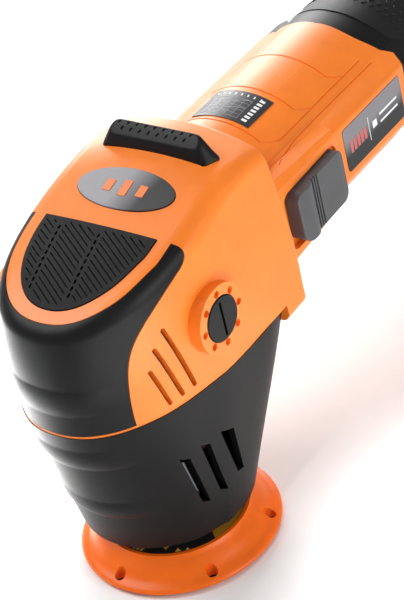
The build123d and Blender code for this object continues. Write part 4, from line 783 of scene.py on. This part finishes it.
def printed(name, skin, cast, strokes, look):
    """Thin print on a label: each stroke is a run of flat points with a half width, in mm."""
    shape = Shape()
    for half, run in strokes:
        landed = []
        for u, v in run:
            found = skin.hit(*cast(u, v))
            if found:
                landed.append(found)
        if len(landed) < 2:
            continue
        one_edge, other_edge = [], []
        for i, (place, up) in enumerate(landed):
            ahead = landed[min(i + 1, len(landed) - 1)][0] - landed[max(i - 1, 0)][0]
            side = ahead.cross(up).normalized() * (half * MM)
            one_edge.append(place + side + up * PRINT_LIFT * MM)
            other_edge.append(place - side + up * PRINT_LIFT * MM)
        count = len(landed)
        top = one_edge + other_edge
        sunk = [p - landed[i % count][1] * 2 * PRINT_LIFT * MM for i, p in enumerate(top)]
        faces = []
        for i in range(count - 1):
            a, b, c, d = i, i + 1, count + i + 1, count + i
            base = 2 * count
            faces += [(a, b, c, d), (base + d, base + c, base + b, base + a),
                      (a, base + a, base + b, b), (d, c, base + c, base + d)]
        for i in (0, count - 1):
            faces.append((i, count + i, 3 * count + i, 2 * count + i))
        shape.add(top + sunk, faces)
    finished(shape.object(name, smooth=False), look, "label_film", "housing")


def straight(u0, v0, u1, v1, parts=8):
    """Points of a straight stroke."""
    return [(u0 + (u1 - u0) * i / parts, v0 + (v1 - v0) * i / parts) for i in range(parts + 1)]


CHART_MARGINS = (4.6, 2.0, 2.2, 6.2)         # rear, front, right, left of the grid, mm
CHART_LINES = (7, 6)              # lines along and across the grid
CHART_CURVES = (1.0, 0.55)        # length of the curves, of the grid's
CHART_BEND = 1.4                  # power that bends the curves, 1 for a quarter wave
CHART_PARTS = 12                  # straight parts of a curve
CHART_WIDTHS = (0.07, 0.13)       # half widths of the lines and curves, mm
SCALE_TICKS = (7, 2.6, 2.15, 0.62)           # number, first x from the rear, pitch, half width, mm
SCALE_SPAN = (4.2, 2.1)           # start and end of a tick from the left edge, mm
EDGE_TICKS = (8, 1.6, 2.9, 0.28)             # number, start and end from the rear, half width, mm
EDGE_END, EDGE_LEAN = 4.0, 0.2    # last tick's distance from the left edge, slant of a tick, mm


def build_chart_print():
    """Plain grid with curves and ticks on the neck's sticker."""
    skin = Skin(mesh_of("chart_label"))
    low, high = (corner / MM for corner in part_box("chart_label"))
    above = high.z * MM + 0.01

    def down(u, v):
        """Cast from above on the point (x, y) in mm."""
        return (u * MM, v * MM, above), (0, 0, -1)

    rear, front = low.x + CHART_MARGINS[0], high.x - CHART_MARGINS[1]
    right, left = low.y + CHART_MARGINS[2], high.y - CHART_MARGINS[3]
    grid, marks = [], []
    for i in range(CHART_LINES[0]):
        y = right + (left - right) * i / (CHART_LINES[0] - 1)
        grid.append((CHART_WIDTHS[0], straight(rear, y, front, y)))
    for i in range(CHART_LINES[1]):
        x = rear + (front - rear) * i / (CHART_LINES[1] - 1)
        grid.append((CHART_WIDTHS[0], straight(x, right, x, left, 16)))
    for length in CHART_CURVES:
        curve = []
        for t in range(CHART_PARTS + 1):
            back = math.sin(t * math.pi / (2 * CHART_PARTS)) ** CHART_BEND
            curve.append((front - (front - rear) * length * back, right + (left - right) * t / CHART_PARTS))
        grid.append((CHART_WIDTHS[1], curve))
    number, first, pitch, half = SCALE_TICKS
    for i in range(number):
        x = low.x + first + pitch * i
        marks.append((half, straight(x, high.y - SCALE_SPAN[0], x, high.y - SCALE_SPAN[1], 4)))
    number, start, end, half = EDGE_TICKS
    for i in range(number):
        y = right + (high.y - EDGE_END - right) * i / (number - 1)
        marks.append((half, straight(low.x + start, y, low.x + end, y + EDGE_LEAN, 2)))
    printed("chart_grid", skin, down, grid, "print_grey")
    printed("chart_marks", skin, down, marks, "print_white")


SIDE_BARS = (5, 4.5, 2.5, 0.75, 2.6)         # number, first off the front, pitch, half width and height, mm
SIDE_RULE = (17.4, 0.14, 5.2)     # off the front, half width and height, mm
SIDE_SQUARE = (21.5, 1.5)         # off the front, half width, mm
SIDE_LINES = (1.7, 0.45, 4.0)     # off the middle, half width, gap at both ends, mm


def build_side_print():
    """Red bars, a thin rule, a square and two lines on the long side label."""
    skin = Skin(mesh_of("side_label"))
    low, high = (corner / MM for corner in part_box("side_label"))
    beyond = high.y * MM + 0.01

    def inward(u, v):
        """Cast from the left side on the point (x, z) in mm."""
        return (u * MM, beyond, v * MM), (0, -1, 0)

    middle = (low.z + high.z) / 2
    red, white = [], []
    number, first, pitch, half, tall = SIDE_BARS
    for i in range(number):
        x = high.x - first - pitch * i
        red.append((half, straight(x, middle - tall, x, middle + tall, 4)))
    x = high.x - SIDE_RULE[0]
    white.append((SIDE_RULE[1], straight(x, middle - SIDE_RULE[2], x, middle + SIDE_RULE[2], 4)))
    x, half = high.x - SIDE_SQUARE[0], SIDE_SQUARE[1]
    white.append((half, straight(x, middle - half, x, middle + half, 4)))
    off, half, gap = SIDE_LINES
    for level in (-off, off):
        white.append((half, straight(x - gap, middle + level, low.x + gap, middle + level, 12)))
    printed("side_marks_red", skin, inward, red, "print_red")
    printed("side_marks_white", skin, inward, white, "print_white")


# ---- rubber sleeve texture ----
MARK_PITCH = (3.3, 3.6)           # along and around the handle, mm
MARK_SIZE = (0.42, 0.42)          # half width and height, mm
MARK_LENGTH = 2.3                 # mm
MARK_TURN = math.radians(36)      # lean of a bar off the handle's axis
MARK_BAND = 3                     # rows that lean the same way
MARK_MARGIN = 6.0                 # from the sleeve's ends to the first and last row, mm
MARK_CLEAR = (2.0, 4.0)           # least distance of a bar from the rear and front end, mm
MARK_FACING = 0.8                 # least cosine between the skin and the way out under a bar


def build_sleeve_marks():
    """Rows of short raised bars, turned one way and the other, over the handle's rubber sleeve."""
    skin = Skin(mesh_of("rear_grip"))
    low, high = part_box("rear_grip")
    axis = (low.z + high.z) / 2
    shape = Shape()
    around = int(2 * math.pi * (high.z - axis) / (MARK_PITCH[1] * MM))
    rows = int((high.x - low.x - 2 * MARK_MARGIN * MM) / (MARK_PITCH[0] * MM))
    for row in range(rows):
        x = low.x + MARK_MARGIN * MM + row * MARK_PITCH[0] * MM
        lean = MARK_TURN if (row // MARK_BAND) % 2 else -MARK_TURN
        for k in range(around):
            turn = 2 * math.pi * (k + 0.5 * (row % 2)) / around
            out = Vector((0, math.sin(turn), math.cos(turn)))
            side = Vector((0, math.cos(turn), -math.sin(turn)))
            spine = []
            for t in (-1, 0, 1):
                spot = Vector((x, 0, axis)) + (Vector((math.cos(lean), 0, 0)) + side * math.sin(lean)) * (
                    t * MARK_LENGTH / 2 * MM)
                found = skin.hit(spot + out * 0.1, -out)
                if found and found[1].dot(out) > MARK_FACING and found[0].x > low.x + MARK_CLEAR[0] * MM:
                    spine.append(found)
            if len(spine) == 3 and max(p.x for p, _ in spine) < high.x - MARK_CLEAR[1] * MM:
                shape.bead(spine, MARK_SIZE[0] * MM, MARK_SIZE[1] * MM, sides=6)
    finished(shape.object("sleeve_marks"), "grip_rubber", "grip_rubber", "housing")


# ---- printed ring of the plate board ----
PRINT_SECTOR = (-160.0, 68.0)     # start and end of the black print, degrees
PRINT_WIDTH = 12.0                # mm
PRINT_SLANT = math.radians(16)    # lean of its end
PRINT_STEPS = 90                  # facets along it
YELLOW_GROUPS = (-120.0, -65.0, -4.0)        # first angle of each group of marks, degrees
YELLOW_BARS = (3, 3.6)            # number in a group, pitch in degrees
YELLOW_LIFT = 0.06                # thickness of a mark above the print, mm


def build_board_print():
    """Black printed sector round the board with small yellow marks on it, turning with the plate."""
    low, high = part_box("plate_print_ring")
    centre = (low + high) / 2
    outer = (high.x - low.x) / 2
    inner = outer - PRINT_WIDTH * MM
    ring = Shape()
    steps = PRINT_STEPS
    verts = []
    for i in range(steps + 1):
        turn = math.radians(PRINT_SECTOR[0] + (PRINT_SECTOR[1] - PRINT_SECTOR[0]) * i / steps)
        slant = PRINT_SLANT if i == steps else 0.0
        for radius, lean in ((outer, 0.0), (inner, slant)):
            for z in (high.z, low.z):
                x = centre.x + radius * math.cos(turn + lean)
                y = centre.y + radius * math.sin(turn + lean)
                verts.append(Vector((x, y, z)))
    faces = []
    for i in range(steps):
        a, b = 4 * i, 4 * i + 4
        faces += [(a, b, b + 2, a + 2), (a + 1, a + 3, b + 3, b + 1),
                  (a, a + 1, b + 1, b), (a + 2, b + 2, b + 3, a + 3)]
    faces += [(0, 2, 3, 1), (4 * steps, 4 * steps + 1, 4 * steps + 3, 4 * steps + 2)]
    ring.add(verts, faces)
    finished(ring.object("board_print", smooth=False), "print_black", "print_black", "plate",
             "plate_print_ring")
    marks = Shape()
    thick = YELLOW_LIFT * MM

    def patch(points):
        """Flat mark from (radius in mm, angle in degrees) corners."""
        corners = [Vector((centre.x + r * MM * math.cos(math.radians(a)),
                           centre.y + r * MM * math.sin(math.radians(a)), high.z)) for r, a in points]
        count = len(corners)
        top = [c + Vector((0, 0, thick)) for c in corners]
        under = [c - Vector((0, 0, thick)) for c in corners]
        sides = [(i, (i + 1) % count, count + (i + 1) % count, count + i) for i in range(count)]
        marks.add(top + under, [tuple(range(count)), tuple(reversed(range(count, 2 * count)))] + sides)

    edge = outer / MM
    for start in YELLOW_GROUPS:
        for k in range(YELLOW_BARS[0]):
            a = start + YELLOW_BARS[1] * k
            patch([(edge - 0.5, a), (edge - 0.5, a + 2.2), (edge - 3.4, a + 4.0), (edge - 3.4, a + 1.8)])
        patch([(edge - 4.2, start + 26), (edge - 4.2, start + 33), (edge - 2.2, start + 29.5)])
        patch([(edge - 0.5, start + 38), (edge - 0.5, start + 43), (edge - 2.4, start + 40.5)])
        patch([(edge - 0.4, start + 47), (edge - 0.4, start + 50), (edge - 1.6, start + 48.5)])
    finished(marks.object("board_marks", smooth=False), "print_yellow", "print_black", "plate")


build_thumb_pad()
build_waves()
build_bumper()
build_shield()
build_screens()
build_neck()
build_chart_print()
build_side_print()
build_sleeve_marks()
build_board_print()


# ---- stage ----
FLOOR_COLOR = (0.93, 0.93, 0.93)
FLOOR_HALF = 6.0                  # metres


def build_floor():
    """Plain pale floor, wide enough to fill any view."""
    corners = ((-1, -1), (1, -1), (1, 1), (-1, 1))
    shape = Shape()
    shape.add([Vector((x * FLOOR_HALF, y * FLOOR_HALF, 0)) for x, y in corners], [(0, 1, 2, 3)])
    floor = shape.object("floor", smooth=False)
    paper = plastic("floor paper", FLOOR_COLOR, 0.9, grain=400.0, depth=0.00001, tint=0.01, specular=0.1)
    floor.data.materials.append(paper)


def area_light(name, place, aim, size, power):
    """Softbox at a place, aimed at a point."""
    data = bpy.data.lights.new(name, "AREA")
    data.shape = "RECTANGLE"
    data.size, data.size_y = size
    data.energy = power
    light = bpy.data.objects.new(name, data)
    light.location = place
    light.rotation_euler = (Vector(aim) - Vector(place)).to_track_quat("-Z", "Y").to_euler()
    bpy.context.scene.collection.objects.link(light)


HEAD = (-0.05, 0.0, 0.09)         # what the softboxes are aimed at, metres
WORLD_STRENGTH = 0.38
SOFTBOXES = (                     # place and size in metres, power in watts
    ("overhead", (0.22, -0.62, 1.05), (0.8, 0.6), 9.0),
    ("behind", (-0.88, -0.72, 0.45), (0.9, 0.55), 13.0),
    ("left", (0.0, 1.1, 0.5), (0.6, 0.5), 5.2),
)
POOLS = (                         # middle and radius on the floor in metres, power in watts
    ("floor right", (0.03, -0.17), 0.13, 360.0),
    ("floor left", (0.25, 0.42), 0.36, 150.0),
    ("floor side", (-0.04, 0.15), 0.11, 45.0),
)
POOL_HEIGHT = 1.0                 # of the lamps over the floor, metres
POOL_LAMP = 0.03                  # radius of a lamp, metres
POOL_BLEND = 0.6                  # share of a pool that fades out


def build_light():
    """Pale surround, three softboxes and three pools of light on the floor beside the tool."""
    world = bpy.data.worlds.new("studio")
    world.use_nodes = True
    world.node_tree.nodes["Background"].inputs["Color"].default_value = (1, 1, 1, 1)
    world.node_tree.nodes["Background"].inputs["Strength"].default_value = WORLD_STRENGTH
    bpy.context.scene.world = world
    for name, place, size, power in SOFTBOXES:
        area_light(name, place, HEAD, size, power)
    for name, spot, radius, power in POOLS:
        pool_light(name, spot, radius, power)


def pool_light(name, spot, radius, power):
    """Narrow light straight down beside the tool; its pool on the floor shows in the glossy sides."""
    data = bpy.data.lights.new(name, "SPOT")
    data.energy = power
    data.spot_size = 2 * math.atan(radius / POOL_HEIGHT)
    data.spot_blend = POOL_BLEND
    data.shadow_soft_size = POOL_LAMP
    light = bpy.data.objects.new(name, data)
    light.location = (*spot, POOL_HEIGHT)
    bpy.context.scene.collection.objects.link(light)


TARGET = Vector((-0.060198, -0.014138, 0.060))         # metres
AZIMUTH, ELEVATION, ROLL = 133.226, 35.364, -14.467    # degrees
DISTANCE = 0.924131               # metres
LENS = 139.5075                   # mm, on a film 36 mm wide


def build_camera():
    """Long lens, looking down on the head from its left front."""
    turn, lift, roll = (math.radians(angle) for angle in (AZIMUTH, ELEVATION, ROLL))
    back = Vector((math.sin(turn) * math.cos(lift), -math.cos(turn) * math.cos(lift), math.sin(lift)))
    data = bpy.data.cameras.new("camera")
    data.lens = LENS
    data.sensor_width = 36.0
    data.clip_start = 0.05
    camera = bpy.data.objects.new("camera", data)
    camera.location = TARGET + back * DISTANCE
    camera.rotation_mode = "QUATERNION"
    camera.rotation_quaternion = back.to_track_quat("Z", "Y") @ Quaternion((0, 0, 1), roll)
    bpy.context.scene.collection.objects.link(camera)
    bpy.context.scene.camera = camera


build_floor()
build_light()
build_camera()
bpy.context.scene.view_settings.view_transform = "Standard"
